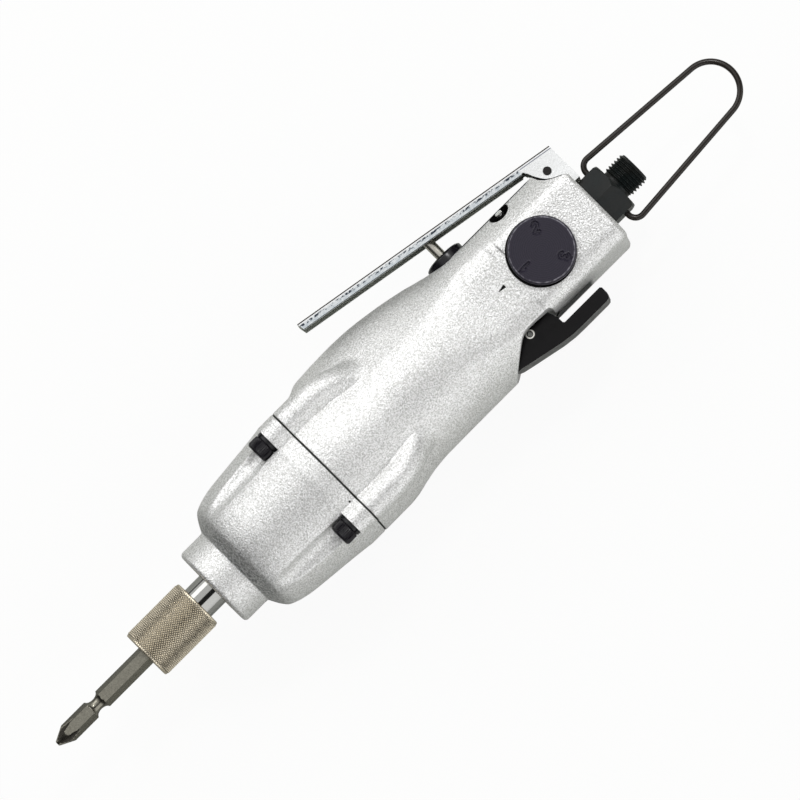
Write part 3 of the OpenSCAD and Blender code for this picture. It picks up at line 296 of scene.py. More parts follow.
# How much of the palm swell has risen, as shares
SPINE = [(64.6, 0.0), (65.6, 0.10), (67.0, 0.32), (68.6, 0.68), (70.2, 0.92), (72.2, 1.0)]
SPINE_TOP = [(57, 30.2), (71.3, 30.4), (80, 30.85), (88, 31.0), (95, 30.75), (108.5, 29.1),
             (119.2, 27.0), (126, 25.3), (131, 24.4), (150, 24.2), (190, 24.2)]
TOP_LIMIT = [(110, 60), (122, 27.4), (127, 25.4), (131, 23.65), (134.5, 22.6), (137, 22.2),
             (190, 22.2)]
# Scalloped top of the block round the valve bush
SCALLOP = [(131.0, 23.27), (133.7, 22.46), (135.8, 21.8), (138.5, 21.5), (142, 21.8),
           (144, 21.9), (146.2, 22.2), (146.2, 40), (131.0, 40)]
DIAL_SIDE = [(106, 26.5), (118, 24.7), (124, 23.4), (131, 21.7), (136, 20.75), (150, 20.6),
             (153.2, 20.6), (153.9, 21.2), (190, 21.2)]
DIAL_SOFT = [(106, 26.5), (118, 24.7), (124, 23.4), (131, 21.7), (136, 20.75), (146, 20.6),
             (160, 21.2), (190, 21.2)]
# Notch of the reverse lever, from its pivot
NOTCH = [(2.0, -15.2), (0.6, -15.22), (-0.8, -15.4), (-2.0, -15.75), (-3.1, -16.3),
         (-4.6, -17.25), (-7.0, -18.95), (-9.8, -20.95), (-12.9, -23.2), (-18.4, -27.2),
         (11.62, -27.2), (11.6, -17.4), (11.45, -16.6), (11.1, -15.95), (10.5, -15.5),
         (9.6, -15.3)]


def build_rear_housing():
    """Round grip with a palm swell and screw bosses, which turns into the square valve block."""
    edge = 2.2
    xs = np.unique(np.round(np.concatenate([
        [57.4, 57.55, 57.75], np.linspace(58.1, 64.4, 10), np.linspace(65, 73, 15),
        np.linspace(73.8, 120, 62), np.linspace(120.7, 152.4, 50), np.linspace(152.8, 154.4, 7),
        np.linspace(155.2, 184, 36), np.linspace(184.5, 187, 6),
        REAR_X - edge * (1 - np.sin(np.linspace(0, np.pi / 2, 9)))]), 4))
    d = from_screws()
    phi = (PHI + np.pi) % (2 * np.pi) - np.pi
    bump = np.where(np.abs(phi) < math.radians(56), np.cos(phi * 90 / 56) ** 2, 0)
    low_side = np.clip((-np.cos(PHI) - 0.1) / 0.5, 0, 1)
    soft = np.clip((9.5 - 21 / np.tan(np.clip(PHI, 0.3, np.pi - 0.3))) / 3, 0, 1)
    stack = []
    for x in xs:
        r = np.full(N_PHI, float(interp(x, BODY)))
        # the palm swell along the throttle side
        start = float(interp(x, SPINE)) if x > 64.6 else 0.0
        r = r + start * bump * np.maximum(float(interp(x, SPINE_TOP)) - r, 0)
        # screw bosses, which fade out towards the grip
        top = 34.7 - 11.8 * max(0.0, (x - 69) / 24) ** 2
        if top > 22:
            centre = top - BOSS_R
            t = centre * np.sin(d)
            high = centre * np.cos(d) + np.sqrt(np.maximum(BOSS_R**2 - t**2, 0)) \
                - np.maximum(t - BOSS_R, 0) * 6
            k = 1.0 + 1.6 * min(max((x - 60) / 14, 0), 1)
            r = smooth_max(r, high, k)
        # flats of the valve block
        r = smooth_min(r, plane_r(float(interp(x, TOP_LIMIT)), 0), 1.4)
        k = 3.0 if x < 150 else 1.3
        if x > 106:
            h = float(interp(x, DIAL_SIDE)) * (1 - soft) + float(interp(x, DIAL_SOFT)) * soft
            r = smooth_min(r, plane_r(h, np.pi / 2), k)
        if x > 141:
            r = smooth_min(r, plane_r(17.3, np.pi), 2.0)
        # rounded rear edge, larger on the low side
        u = (x - (REAR_X - edge)) / edge
        if u > 0:
            r = r - (1 - math.sqrt(max(1 - u * u, 0))) * (1.7 + 1.5 * low_side)
        stack.append(around_x(x, r - joint_break(x - BODY_X), N_PHI))
    for x, r in [(REAR_X, 8), (173.5, 8), (173.5, 6), (115, 6), (115, BODY_BORE_R),
                 (BODY_X, BODY_BORE_R)]:
        stack.append(around_x(x, r, N_PHI))
    ob = rings("rear_housing_shell", stack, angle=50)

    # room for the lever's cheeks, with a real edge along their outline
    g = 0.75
    px, py = PIN
    outline = [(px - 6.6 - g, py + 9), (px - 5.0 - g, py + 1.6), (px - 4.2 - g, py - 0.9),
               (px - 2.6 - g, py - 3.0), (px - 0.4, py - 4.5 - g * 0.6),
               (px + 2.4, py - 5.6 - g), (px + 3.6, py - 6.4 - g),
               (px + 8, py - 6.4 - g), (px + 8, py + 9)]
    for lo, hi in ((-30, -5.35), (5.35, 30)):
        cut(ob, prism("slot", outline, "Z", lo, hi))
    # the tick that the dial's numbers stand against
    cut(ob, prism("tick", [(142.5, 0.5), (145.9, -0.2), (145.9, 1.25)], "Z", 19.6, 24))
    # spot face of the valve bush, and the bore that it sits in with the stem's room below
    cut(ob, prism("scallop", SCALLOP, "Z", 0, 30))
    valve = (VALVE_X, 0, 0)
    cut(ob, lathe("face", [(21.45, 0), (21.45, 7.9), (40, 7.9), (40, 0)], "Y", valve, 64))
    cut(ob, lathe("bore", [(-2.5, 0), (-2.5, 5.1), (10.9, 5.1), (10.9, 6.05), (22, 6.05),
                           (22, 0)], "Y", valve, 64))
    # bore of the dial's spindle, and the cast recess, which isn't quite centred on it
    cut(ob, lathe("bore", [(8, 0), (8, 7.1), (30, 7.1), (30, 0)], "Z", (DIAL_X, 0, 0), 64))
    cut(ob, lathe("recess", [(18.6, 0), (18.6, 12.6), (30, 12.6), (30, 0)], "Z",
                  (RECESS_X, 0, 0), 96))
    # round hollow of the reverse lever with its bore, and the notch that shows its side
    cut(ob, lathe("hollow", [(-40, 0), (-40, 15.2), (-25.7, 15.2), (-12.7, 12.2), (-12.7, 6.05),
                             (-6.1, 6.05), (-6.1, 0)], "Y", (REVERSE_X, 0, 0), 96))
    cut(ob, prism("notch", [(REVERSE_X + a, b) for a, b in NOTCH], "Z", -32, 32))
    # leaning bore of the plug, and the pocket of the exhaust cover
    cut(ob, lean_plug(lathe("bore", [(18.9, 0), (18.9, 3.75), (24.0, 3.78), (26, 4.6), (40, 4.6),
                                     (40, 0)], "Z", (PLUG_X, 0, 0), 64)))
    cut(ob, prism("pocket", [(160.1, -30), (184.1, -30), (184.1, -20.7), (160.1, -20.7)], "Y",
                  -6, 6))
    return ob


def lean_plug(ob):
    """Turns a body from the Z axis to the plug's own axis."""
    ob.data.transform(Matrix.Rotation(-PLUG_LEAN, 4, "X"))
    return ob


# Other pieces

def build_screws():
    """Four socket-head screws with knurled heads, as one mesh."""
    head_x, head_r, head_h = 43.6, 4.25, 5.0
    shank_r, length, chamfer = 2.48, 25.0, 0.6
    n = 144
    a = np.arange(n)
    tooth = 0.5 + 0.5 * np.cos(a * 2 * np.pi / 4)
    hexr = 2.0 / np.cos((a * 2 * np.pi / n + np.pi / 6) % (np.pi / 3) - np.pi / 6)
    outline = [(2.5, hexr * 0.05), (2.5, hexr), (0.12, hexr), (0, hexr + 0.12),
               (0, head_r - 0.75), (0.2, head_r - 0.38), (0.62, head_r - 0.13)]
    outline += [(x, head_r - 0.26 * tooth) for x in (0.85, 2.0, 3.2, 4.3)]
    outline += [(4.6, head_r - 0.3), (head_h, head_r - 0.5), (head_h, shank_r),
                (head_h + length - chamfer, shank_r), (head_h + length, 1.9),
                (head_h + length, 0.05)]
    parts = []
    for i in range(4):
        ring = [around_x(head_x + x, r, n) for x, r in outline]
        ob = rings("screw", ring, close=False, caps=True, angle=28)
        ang = math.pi / 4 + i * math.pi / 2
        ob.data.transform(Matrix.Rotation(0.4 + 1.1 * i, 4, "X"))
        ob.data.transform(Matrix.Translation(
            (0, SCREW_R * math.cos(ang) * MM, SCREW_R * math.sin(ang) * MM)))
        parts.append(ob)
    return join("case_screw_set", parts)


def join(name, parts):
    me = bpy.data.meshes.new(name)
    bm = bmesh.new()
    for p in parts:
        bm.from_mesh(p.data)
        bpy.data.objects.remove(p)
    bm.to_mesh(me)
    bm.free()
    ob = bpy.data.objects.new(name, me)
    bpy.context.scene.collection.objects.link(ob)
    return ob


# Diamonds of the knurl around and along the sleeve, and how far it stays from the ends
KNURL = (66, 19)
KNURL_INSET = 0.75


def build_sleeve():
    """Sleeve with a cut diamond knurl: four points to a diamond both ways."""
    x0, x1, radius = SLEEVE
    around, along = KNURL
    n, m = around * 4, along * 4
    edge, depth = 0.5, 0.38
    stack = []
    for p, r in [(x0, 9.2), (x0 + 0.1, 9.42), (x0 + 0.3, 9.6), (x0 + edge, 9.68)]:
        stack.append(around_x(p, r, n))

    def tri(u):
        return 1 - abs((u % 4) - 2) / 2

    k = np.arange(n)
    for j in range(m + 1):
        x = x0 + KNURL_INSET + (x1 - x0 - 2 * KNURL_INSET) * j / m
        groove = np.clip(np.minimum(tri(k + j), tri(k - j)) / 0.8, 0, 1)
        end = min(1, min(j, m - j) / 2.0)
        stack.append(around_x(x, radius - depth + depth * groove * end + 0.06 * (1 - end), n))
    for p, r in [(x1 - edge, 9.68), (x1 - 0.3, 9.6), (x1 - 0.1, 9.42), (x1, 9.2), (x1, 6.75),
                 (-22.8, 6.75), (-22.8, 5.66), (-28.5, 5.66), (-28.5, 7.44), (x0, 7.44)]:
        stack.append(around_x(p, r, n))
    return rings("knurled_sleeve", stack, angle=24)


def build_bit():
    """Double-ended hexagon bit, flats facing up, with cross points and round grooves."""
    n = 192
    a = np.arange(n) * 2 * np.pi / n
    hexa = BIT_FLAT / np.cos(a % (np.pi / 3) - np.pi / 6)
    delta = np.abs(a % (np.pi / 2) - np.pi / 4)
    wall = 0.9 * np.cos(delta) - np.sin(delta)
    half = np.concatenate([[0, 0.12, 0.4], np.linspace(0.8, 12.6, 40), [13.2, 14.5, 16.2],
                           np.linspace(16.6, 22.2, 23), [22.8, 25, 30, 35]])
    xs = np.concatenate([BIT_ENDS[0] + half, (BIT_ENDS[1] - half)[::-1][1:]])
    stack = []
    for x in xs:
        s = min(x - BIT_ENDS[0], BIT_ENDS[1] - x)
        r = np.minimum(hexa, BIT_CORNER)
        r = np.minimum(r, 0.92 + s * 0.5 if s > 0.2 else 0.75 + s * 1.35)
        if s < 11.4:
            d = 0.5 + 3.3 * (s / 11.4) ** 1.6
            r = np.where(wall > 0.02, np.minimum(r, d * 0.9 / np.maximum(wall, 0.02)), r)
        if 16.8 < s < 22.2:
            u = (s - 19.5) / 2.7
            r = np.minimum(r, 3.75 - 1.5 * math.sqrt(max(1 - u * u, 0)) ** 1.1)
        stack.append(around_x(x, r, n))
    return rings("cross_bit", stack, close=False, caps=True, angle=30)


def flute_faces(ob, mat):
    """Gives the bottoms of the bit's flutes a second, darker material: painted shade."""
    def in_flute(x, y, z):
        s = min(x - BIT_ENDS[0], BIT_ENDS[1] - x)
        turn = math.atan2(z, y) % (math.pi / 3) - math.pi / 6
        rim = min(BIT_FLAT / math.cos(turn), BIT_CORNER, 0.92 + s * 0.5)
        return 1.0 < s < 11.5 and rim - math.hypot(y, z) > 0.3

    second_finish(ob, mat, in_flute)


def second_finish(ob, mat, chosen):
    """Gives the faces whose middles are chosen a second material."""
    ob.data.materials.append(bpy.data.materials[mat])
    for f in ob.data.polygons:
        if chosen(*(c / MM for c in f.center)):
            f.material_index = 1


def lever_outline():
    """Side of the lever's channel, from its tip along the wall and round the cheek."""
    px, py = PIN
    slope = math.tan(LEVER_SLOPE)
    length, wall = 99.4, 3.0
    down = wall / math.cos(LEVER_SLOPE)
    tip_x, tip_top = px - length, py + LEVER_RISE + length * slope
    return [(tip_x, tip_top), (tip_x + wall * slope, tip_top - down),
            (px - 6.6, py + LEVER_RISE + 6.6 * slope - down), (px - 5.6, py + 4.4),
            (px - 4.8, py + 2.3), (px - 3.75, py + 0.3), (px - 2.4, py - 1.6),
            (px - 0.5, py - 3.0), (px + 2.3, py - 4.3), (px + 3.9, py - 5.4),
            (px + 4.3, py - 6.3), (px + 4.3, py - 9.3), (px + 6.6, py - 9.3),
            (px + 6.6, py + LEVER_RISE - 6.6 * slope)]


def build_lever():
    px, py = PIN
    slope = math.tan(LEVER_SLOPE)
    half, sheet = 7.0, 1.2
    ob = prism("lever_channel", lever_outline(), "Z", -half, half)
    x0, x1 = px - 101, px + 6.6 - sheet
    top = py + LEVER_RISE - sheet / math.cos(LEVER_SLOPE)
    inner = [(x0, top + (px - x0) * slope), (x0, -2), (x1, -2), (x1, top + (px - x1) * slope)]
    combine(ob, prism("channel", inner, "Z", sheet - half, half - sheet))
    # hole of the pin, and the round relief where the side wall widens into the cheek
    for dx, dy, r, n in ((0, 0, 1.55, 32), (-6.75, 4.95, 0.7, 24)):
        combine(ob, lathe("hole", [(-10, 0), (-10, r), (10, r), (10, 0)], "Z",
                          (px + dx, py + dy, 0), n))
    bevelled(ob, 0.16, 2, 30)
    return ob


def inner_faces(ob, mat):
    """Gives the faces inside the lever's channel a second, darker zinc: painted shade."""
    second_finish(ob, mat, lambda x, y, z: abs(z) < 5.9 and PIN[1] + LEVER_RISE
                  + (PIN[0] - x) * math.tan(LEVER_SLOPE) - y > 0.6)


def build_bush():
    return lathe("valve_bush_dome", [
        (11.0, 3.2), (11.0, 5.98), (21.47, 5.98), (21.47, 7.5), (21.57, 7.6), (24.3, 7.62),
        (24.7, 7.5), (25.0, 7.1), (25.3, 6.5), (25.5, 5.7), (25.6, 5.0), (25.7, 4.0),
        (25.75, 3.0), (25.7, 2.6), (25.5, 2.2), (18.2, 2.06), (13, 2.06)],
        "Y", (VALVE_X, 0, 0), 96, 30)


def seg_distance(px, py, line):
    """Distance of points to a chain of segments."""
    best = np.full(px.shape, 1e9)
    for (ax, ay), (bx, by) in zip(line[:-1], line[1:]):
        dx, dy = bx - ax, by - ay
        t = np.clip(((px - ax) * dx + (py - ay) * dy) / (dx * dx + dy * dy), 0, 1)
        best = np.minimum(best, np.hypot(px - ax - t * dx, py - ay - t * dy))
    return best


DIGITS = {
    "1": [[(-0.24, 0.72), (0.0, 1.0), (0.0, 0.0)]],
    "2": [[(-0.30, 0.76), (-0.22, 0.92), (-0.05, 1.0), (0.14, 0.97), (0.28, 0.82), (0.27, 0.64),
           (0.12, 0.42), (-0.30, 0.0), (0.32, 0.0)]],
    "3": [[(-0.28, 0.84), (-0.14, 0.98), (0.06, 1.0), (0.24, 0.90), (0.27, 0.73), (0.15, 0.58),
           (-0.04, 0.54)],
          [(-0.04, 0.54), (0.18, 0.48), (0.31, 0.30), (0.25, 0.10), (0.05, 0.0), (-0.16, 0.03),
           (-0.30, 0.18)]]}


def build_dial():
    """Dial with its digits and rim notches as real grooves in the face."""
    z0, z1, radius = 21.25, 24.25, 12.2
    n = 320
    th = np.arange(n) * 2 * np.pi / n
    rr = np.concatenate([[0.05], np.linspace(1.0, 5.6, 8), np.linspace(5.8, 11.3, 40)])

    def face(r):
        x, y = r * np.cos(th), r * np.sin(th)
        z = np.full(n, z1)
        for digit, ang in (("1", 180), ("2", 60), ("3", -60)):
            a = math.radians(ang)
            # local frame: up points outwards, right is up turned by -90 degrees
            up = np.array([math.cos(a), math.sin(a)])
            right = np.array([math.sin(a), -math.cos(a)])
            base = up * 6.5
            u = (x - base[0]) * right[0] + (y - base[1]) * right[1]
            v = (x - base[0]) * up[0] + (y - base[1]) * up[1]
            dist = np.full(n, 1e9)
            for line in DIGITS[digit]:
                dist = np.minimum(dist, seg_distance(u, v, [(p * 3.1, q * 3.4) for p, q in line]))
            notch = seg_distance(u, v, [(0.0, 4.5), (0.0, 7.0)])
            dist = np.minimum(dist, notch + 0.08)
            z = z - 0.38 * np.clip((0.52 - dist) / 0.24, 0, 1) \
                + 0.16 * np.exp(-((dist - 0.66) / 0.12) ** 2)
        return z

    stack = []

    def ring(r, z):
        stack.append(np.column_stack([DIAL_X + r * np.cos(th), r * np.sin(th),
                                      np.broadcast_to(z, (n,))]))

    for r in rr:
        ring(r, face(r))
    for r, z in [(11.6, z1 - 0.2), (11.85, z1 - 0.5), (12.08, z1 - 0.85), (radius, z1 - 1.2),
                 (radius, z0 + 0.25), (radius - 0.2, z0), (7.0, z0), (7.0, -6.0), (6.7, -6.3),
                 (0.05, -6.3)]:
        ring(r, z)
    return rings("dial_face", stack, close=False, caps=True, angle=40)


def build_reverse_lever():
    """Wedge block and paddle, with the crease between them."""
    paddle_y, paddle_t = -21.9, 5.2
    low = paddle_y - paddle_t
    x = REVERSE_X
    side = [(-12.7, paddle_y - 0.3), (-11.2, -20.4), (-9.0, -18.6), (-6.2, -16.2), (-4.0, -14.4),
            (-2.2, -13.55), (0, -13.3), (5, -13.3), (8.4, -13.35), (9.4, -14.0), (10.1, -16.0),
            (10.5, -17.4), (11.0, -18.7), (11.05, -21.4), (11.5, -21.9), (20, -21.9),
            (28.6, -21.9), (29.2, -22.5),
            (29.2, -25.0), (28.9, -26.2), (28.2, -26.9), (27.0, low), (20, low), (15, low),
            (11, low + 0.12), (6, low + 0.75), (0, low + 2.0), (-6, low + 3.25), (-11.6, low + 4.5)]
    ob = prism("reverse_paddle", [(x + a, b) for a, b in side], "Z", -7.5, 7.5)
    # round front seen along the pivot
    arc = [(x + 12.7 * math.cos(a), 12.7 * math.sin(a))
           for a in np.linspace(math.radians(216), math.radians(144), 25)]
    keep = [(x + 35, -9), (x - 5.2, -11.6)] + arc + [(x - 5.2, 11.6), (x + 35, 9)]
    combine(ob, prism("keep", keep, "Y", -40, 0), "INTERSECT")
    # the paddle's shallow step along both sides, which reads as the crease
    step = [(x - 20, -13), (x - 20, -20.45), (x + 31, -20.75), (x + 31, -13)]
    for lo, hi in ((-9, -7.15), (7.15, 9)):
        combine(ob, prism("step", step, "Z", lo, hi))
    # bores of the reverse valve and of the roll pin
    combine(ob, lathe("bore", [(-20, 0), (-20, 4.42), (-10, 4.42), (-10, 0)], "Y", (x, 0, 0), 48))
    combine(ob, lathe("bore", [(-10, 0), (-10, 1.66), (10, 1.66), (10, 0)], "Z",
                      (x, ROLL_PIN_Y, 0), 32))
    bevelled(ob, 0.4, 3, 28)
    return ob


def build_inlet():
    """Inlet bush: pressed root, chamfered hexagon, neck and a real helical thread."""
    n = 192
    a = np.arange(n) * 2 * np.pi / n
    # flats face +Y and -Y, as in the CAD source
    hexa = 9.5 / np.cos((a + np.pi / 6) % (np.pi / 3) - np.pi / 6)
    hex_x, neck_x = 189.14, 198.6
    pitch, x0, x1 = 1.337, 199.7, 208.2
    major, depth = 6.58, 0.86
    outline = [(173.8, 4.0), (173.8, 7.6), (174.2, 7.97), (187.2, 7.97), (187.2, 6.3),
               (hex_x, 6.3)]
    outline += [(x, np.minimum(hexa, corner)) for x, corner in [(hex_x, 10.65), (189.5, 10.95)]]
    outline += [(x, hexa) for x in np.linspace(190.5, 197.2, 5)]
    outline += [(x, np.minimum(hexa, corner)) for x, corner in [
        (197.5, 10.7), (198.0, 10.15), (198.4, 9.7)]]
    outline += [(neck_x, np.minimum(hexa, 9.45) - 0.05), (neck_x, 5.75), (x0, 5.75)]
    for x in np.linspace(x0, x1, 77):
        u = ((x - x0) / pitch - a / (2 * np.pi)) % 1.0
        tri = 1 - np.abs(u - 0.5) * 2
        prof = major - depth * np.clip((0.90 - tri) / 0.80, 0, 1)
        end = max(0.0, (x - (x1 - 1.3)) / 1.3)
        start = max(0.0, 1 - (x - x0) / 0.8)
        outline.append((x, np.minimum(prof, major - np.maximum(end, depth * start))))
    outline += [(208.28, 5.4), (208.28, 4.3), (208.0, 4.0)]
    return rings("threaded_inlet", [around_x(x, r, n) for x, r in outline], angle=32)


def sweep(name, centre, radius, n=24):
    """Round wire along points in the plane z = 0."""
    c = np.asarray(centre, float)
    stack = []
    for i in range(len(c)):
        d = c[min(i + 1, len(c) - 1)] - c[max(i - 1, 0)]
        side = np.array([-d[1], d[0]]) / np.hypot(*d)
        a = np.arange(n) * 2 * np.pi / n
        stack.append(np.column_stack([c[i, 0] + side[0] * radius * np.cos(a),
                                      c[i, 1] + side[1] * radius * np.cos(a),
                                      radius * np.sin(a)]))
    return rings(name, stack, close=False, caps=True, angle=50)


def build_bail():
    """Wire hanger: two hooked ends, bends, straight legs and a round far end."""
    half, half_end, bend, length = 27.7 / 2, 20.6 / 2, 3.5, 61.15
    corner = (HANGER_X + bend, half - bend)
    far = (HANGER_X + length - half_end, 0)
    dx, dy = far[0] - corner[0], far[1] - corner[1]
    lean = math.atan2(corner[1], dx) - math.asin((half_end - bend) / math.hypot(dx, dy))

    def arc(cx, cy, r, a0, a1, steps):
        return [(cx + r * math.cos(a0 + (a1 - a0) * i / steps),
                 cy + r * math.sin(a0 + (a1 - a0) * i / steps)) for i in range(steps + 1)]

    h = math.pi / 2
    pts = [(HANGER_X, 5.4), (HANGER_X, 9.4)]
    pts += arc(*corner, bend, math.pi, h - lean, 16)
    pts += arc(*far, half_end, h - lean, lean - h, 64)
    pts += arc(corner[0], -corner[1], bend, lean - h, -math.pi, 16)
    pts += [(HANGER_X, -9.4), (HANGER_X, -5.4)]
    return sweep("wire_bail", pts, 1.1, 28)


def build_plug():
    """Plug with a small round boss in its middle."""
    return lean_plug(lathe("round_plug", [
        (18.72, 0), (18.72, 3.6), (18.9, 3.73), (21.6, 3.73), (21.8, 3.5), (21.9, 1.8),
        (22.0, 1.6), (24.6, 1.55), (24.95, 1.35), (25.1, 0.9), (25.12, 0)],
        "Z", (PLUG_X, 0, 0), 64, 40))


# Materials

class Graph:
    """Node tree of a material or a world, with one short call for each kind of node."""

    def __init__(self, owner, output):
        owner.use_nodes = True
        self.tree = owner.node_tree
        self.tree.nodes.clear()
        self.out = self.node(output)
        self.coords = None

    def node(self, kind, **settings):
        n = self.tree.nodes.new(kind)
        for key, value in settings.items():
            setattr(n, key, value)
        return n

    def feed(self, socket, value):
        """Links an output to a socket, or sets the socket to a number, vector or colour."""
        if isinstance(value, bpy.types.NodeSocket):
            self.tree.links.new(value, socket)
        else:
            socket.default_value = value

    def shader(self, kind, **inputs):
        n = self.node(kind)
        for key, value in inputs.items():
            self.feed(n.inputs[key.replace("_", " ")], value)
        return n.outputs[0]

    def blend(self, fac, a, b):
        """Mix of two shaders."""
        n = self.node("ShaderNodeMixShader")
        for socket, value in zip(n.inputs, (fac, a, b)):
            self.feed(socket, value)
        return n.outputs[0]

    def calc(self, op, a, b=None):
        n = self.node("ShaderNodeMath", operation=op)
        self.feed(n.inputs[0], a)
        if b is not None:
            self.feed(n.inputs[1], b)
        return n.outputs[0]

    def times(self, first, *others):
        for value in others:
            first = self.calc("MULTIPLY", first, value)
        return first

    def minus(self, a, b):
        return self.calc("SUBTRACT", a, b)

    def size(self, a):
        return self.calc("ABSOLUTE", a)

    def far(self, a, b):
        """Length of (a, b)."""
        return self.calc("SQRT", self.calc("ADD", self.times(a, a), self.times(b, b)))

    def ramp(self, src, lo, hi, a=0.0, b=1.0, kind="LINEAR"):
        """Goes from a to b while the source goes from lo to hi."""
        n = self.node("ShaderNodeMapRange", interpolation_type=kind)
        for key, value in zip(("Value", "From Min", "From Max", "To Min", "To Max"),
                              (src, lo, hi, a, b)):
            self.feed(n.inputs[key], value)
        return n.outputs[0]

    def mix(self, fac, a, b):
        """Mix of two colours."""
        n = self.node("ShaderNodeMix", data_type="RGBA")
        for i, value in ((0, fac), (6, a), (7, b)):
            self.feed(n.inputs[i], (*value, 1) if isinstance(value, tuple) else value)
        return n.outputs[2]

    def stretched(self, **inputs):
        """The coordinates, moved or scaled."""
        n = self.node("ShaderNodeMapping")
        self.feed(n.inputs["Vector"], self.coords)
        for key, value in inputs.items():
            self.feed(n.inputs[key], value)
        return n.outputs[0]

    def noise(self, size, detail=3.0, rough=0.55, coords=None):
        """Noise in the object's own space, with its size in millimetres."""
        n = self.node("ShaderNodeTexNoise")
        for key, value in (("Vector", coords or self.coords), ("Scale", 1 / (size * MM)),
                           ("Detail", detail), ("Roughness", rough)):
            self.feed(n.inputs[key], value)
        return n.outputs["Fac"]

    def split(self, vector):
        n = self.node("ShaderNodeSeparateXYZ")
        self.feed(n.inputs[0], vector)
        return tuple(n.outputs)

    def place(self):
        """The object's own x, y and z in millimetres."""
        return self.split(self.stretched(Scale=(1 / MM,) * 3))


def cast_marks(g, col):
    """Pin spots, mould-pin ring, painted shade by the nose and in hollows, painted edge reflection.
    """
    spots = g.node("ShaderNodeTexVoronoi")
    g.feed(spots.inputs["Scale"], 1 / (2.4 * MM))
    g.feed(spots.inputs["Vector"], g.coords)
    col = g.mix(g.ramp(spots.outputs["Distance"], 0.10, 0.16, 0.35, 0.0), col, (0.42, 0.42, 0.40))
    x, y, z = g.place()
    upper = g.ramp(z, 10, 11)
    ring = g.size(g.minus(g.far(g.minus(x, 21.5), g.minus(y, 8.8)), 1.9))
    col = g.mix(g.times(g.ramp(ring, 0.25, 0.1, 0.0, 0.35), upper), col, (0.25, 0.25, 0.24))
    # painted shade on the shoulder behind the nose, broken up by noise
    shoulder_shade = g.ramp(g.noise(0.9, 3.0, 0.6), 0.42, 0.60, 0.15, 0.85)
    col = g.mix(g.times(g.ramp(x, 10.8, 11.2), g.ramp(x, 18.5, 12.2), shoulder_shade), col,
                (0.17, 0.18, 0.175))
    pit = g.far(g.minus(x, PIT[0]), g.minus(y, PIT[1]))
    black = [
        # painted shade: black inside the casting pit
        g.times(g.ramp(pit, 0.30, 0.48, 1.0, 0.0), upper),
        # painted shade: black at the bottom of the dial's recess, and of the tick beside it
        g.times(g.ramp(g.far(g.minus(x, RECESS_X), y), 12.65, 12.61), g.ramp(z, 16.5, 17)),
        g.times(g.ramp(z, 20.45, 20.2), g.ramp(z, 19.0, 19.3), g.ramp(x, 142.2, 142.4),
                g.ramp(x, 146.2, 146.0), g.ramp(g.size(y), 1.4, 1.2)),
        # painted shade: black along the joint line's edges, and at the bottom of the lever's slots
        g.ramp(g.size(g.minus(x, (CASE_LEN + BODY_X) / 2)), 0.36, 0.28),
        g.times(g.ramp(g.size(z), 9.5, 7.8), g.ramp(x, 173.5, 174.5), g.ramp(y, 11.5, 12.5)),
        # painted dark reflection and shade along the valve block's top edge
        g.times(g.ramp(y, 21.3, 21.6), g.ramp(z, 9.2, 9.8), g.ramp(x, 142, 146),
                g.ramp(x, 177.5, 176.5)),
        # black band on the block's underside, next to the reverse lever's paddle
        g.times(g.ramp(y, -16.6, -17.0), g.ramp(z, 1.2, 0.0), g.ramp(x, 149, 151),
                g.ramp(x, 170, 168.5)),
        # painted shade: black on the wall of the plug's bore
        g.times(g.ramp(plug_distance(g, x, y, z), 4.25, 4.15), g.ramp(y, 12.5, 13.0))]
    mask = black[0]
    for more in black[1:]:
        mask = g.calc("MAXIMUM", mask, more)
    return g.mix(mask, col, (0.015, 0.015, 0.015))


def plug_distance(g, x, y, z):
    """Distance from the plug's own axis."""
    side = g.minus(g.times(y, math.cos(PLUG_LEAN)), g.times(z, math.sin(PLUG_LEAN)))
    return g.far(g.minus(x, PLUG_X), side)


def plug_rim_shade(g, col):
    """Painted shade: a black rim round the plug's bright middle."""
    return g.mix(g.ramp(plug_distance(g, *g.place()), 1.6, 1.7), col, (0.010, 0.010, 0.010))


def roll_pin_shade(g, col):
    """Painted shade: black inside the roll pin."""
    x, y = g.place()[:2]
    away = g.far(g.minus(x, REVERSE_X), g.minus(y, ROLL_PIN_Y))
    return g.mix(g.ramp(away, 1.20, 1.12), col, (0.006, 0.006, 0.006))


def turned_marks(g, col):
    """Turning rings on the dial's face, and a painted highlight along its edge."""
    wave = g.node("ShaderNodeTexWave", wave_type="RINGS", rings_direction="Z")
    for key, value in (("Scale", 420), ("Distortion", 0.9),
                       ("Vector", g.stretched(Location=(-DIAL_X * MM, 0, 0)))):
        g.feed(wave.inputs[key], value)
    col = g.mix(g.ramp(wave.outputs["Fac"], 0.3, 1.0, 0.0, 0.22), col, (0.050, 0.042, 0.062))
    x, y = g.place()[:2]
    # painted highlight along the edge chamfer, patchy with noise
    edge = g.size(g.minus(g.far(g.minus(x, DIAL_X), y), 11.5))
    edge_highlight = g.times(g.ramp(edge, 0.30, 0.12), g.ramp(g.noise(1.6), 0.38, 0.62, 0.1, 0.8))
    return g.mix(edge_highlight, col, (0.30, 0.29, 0.33))


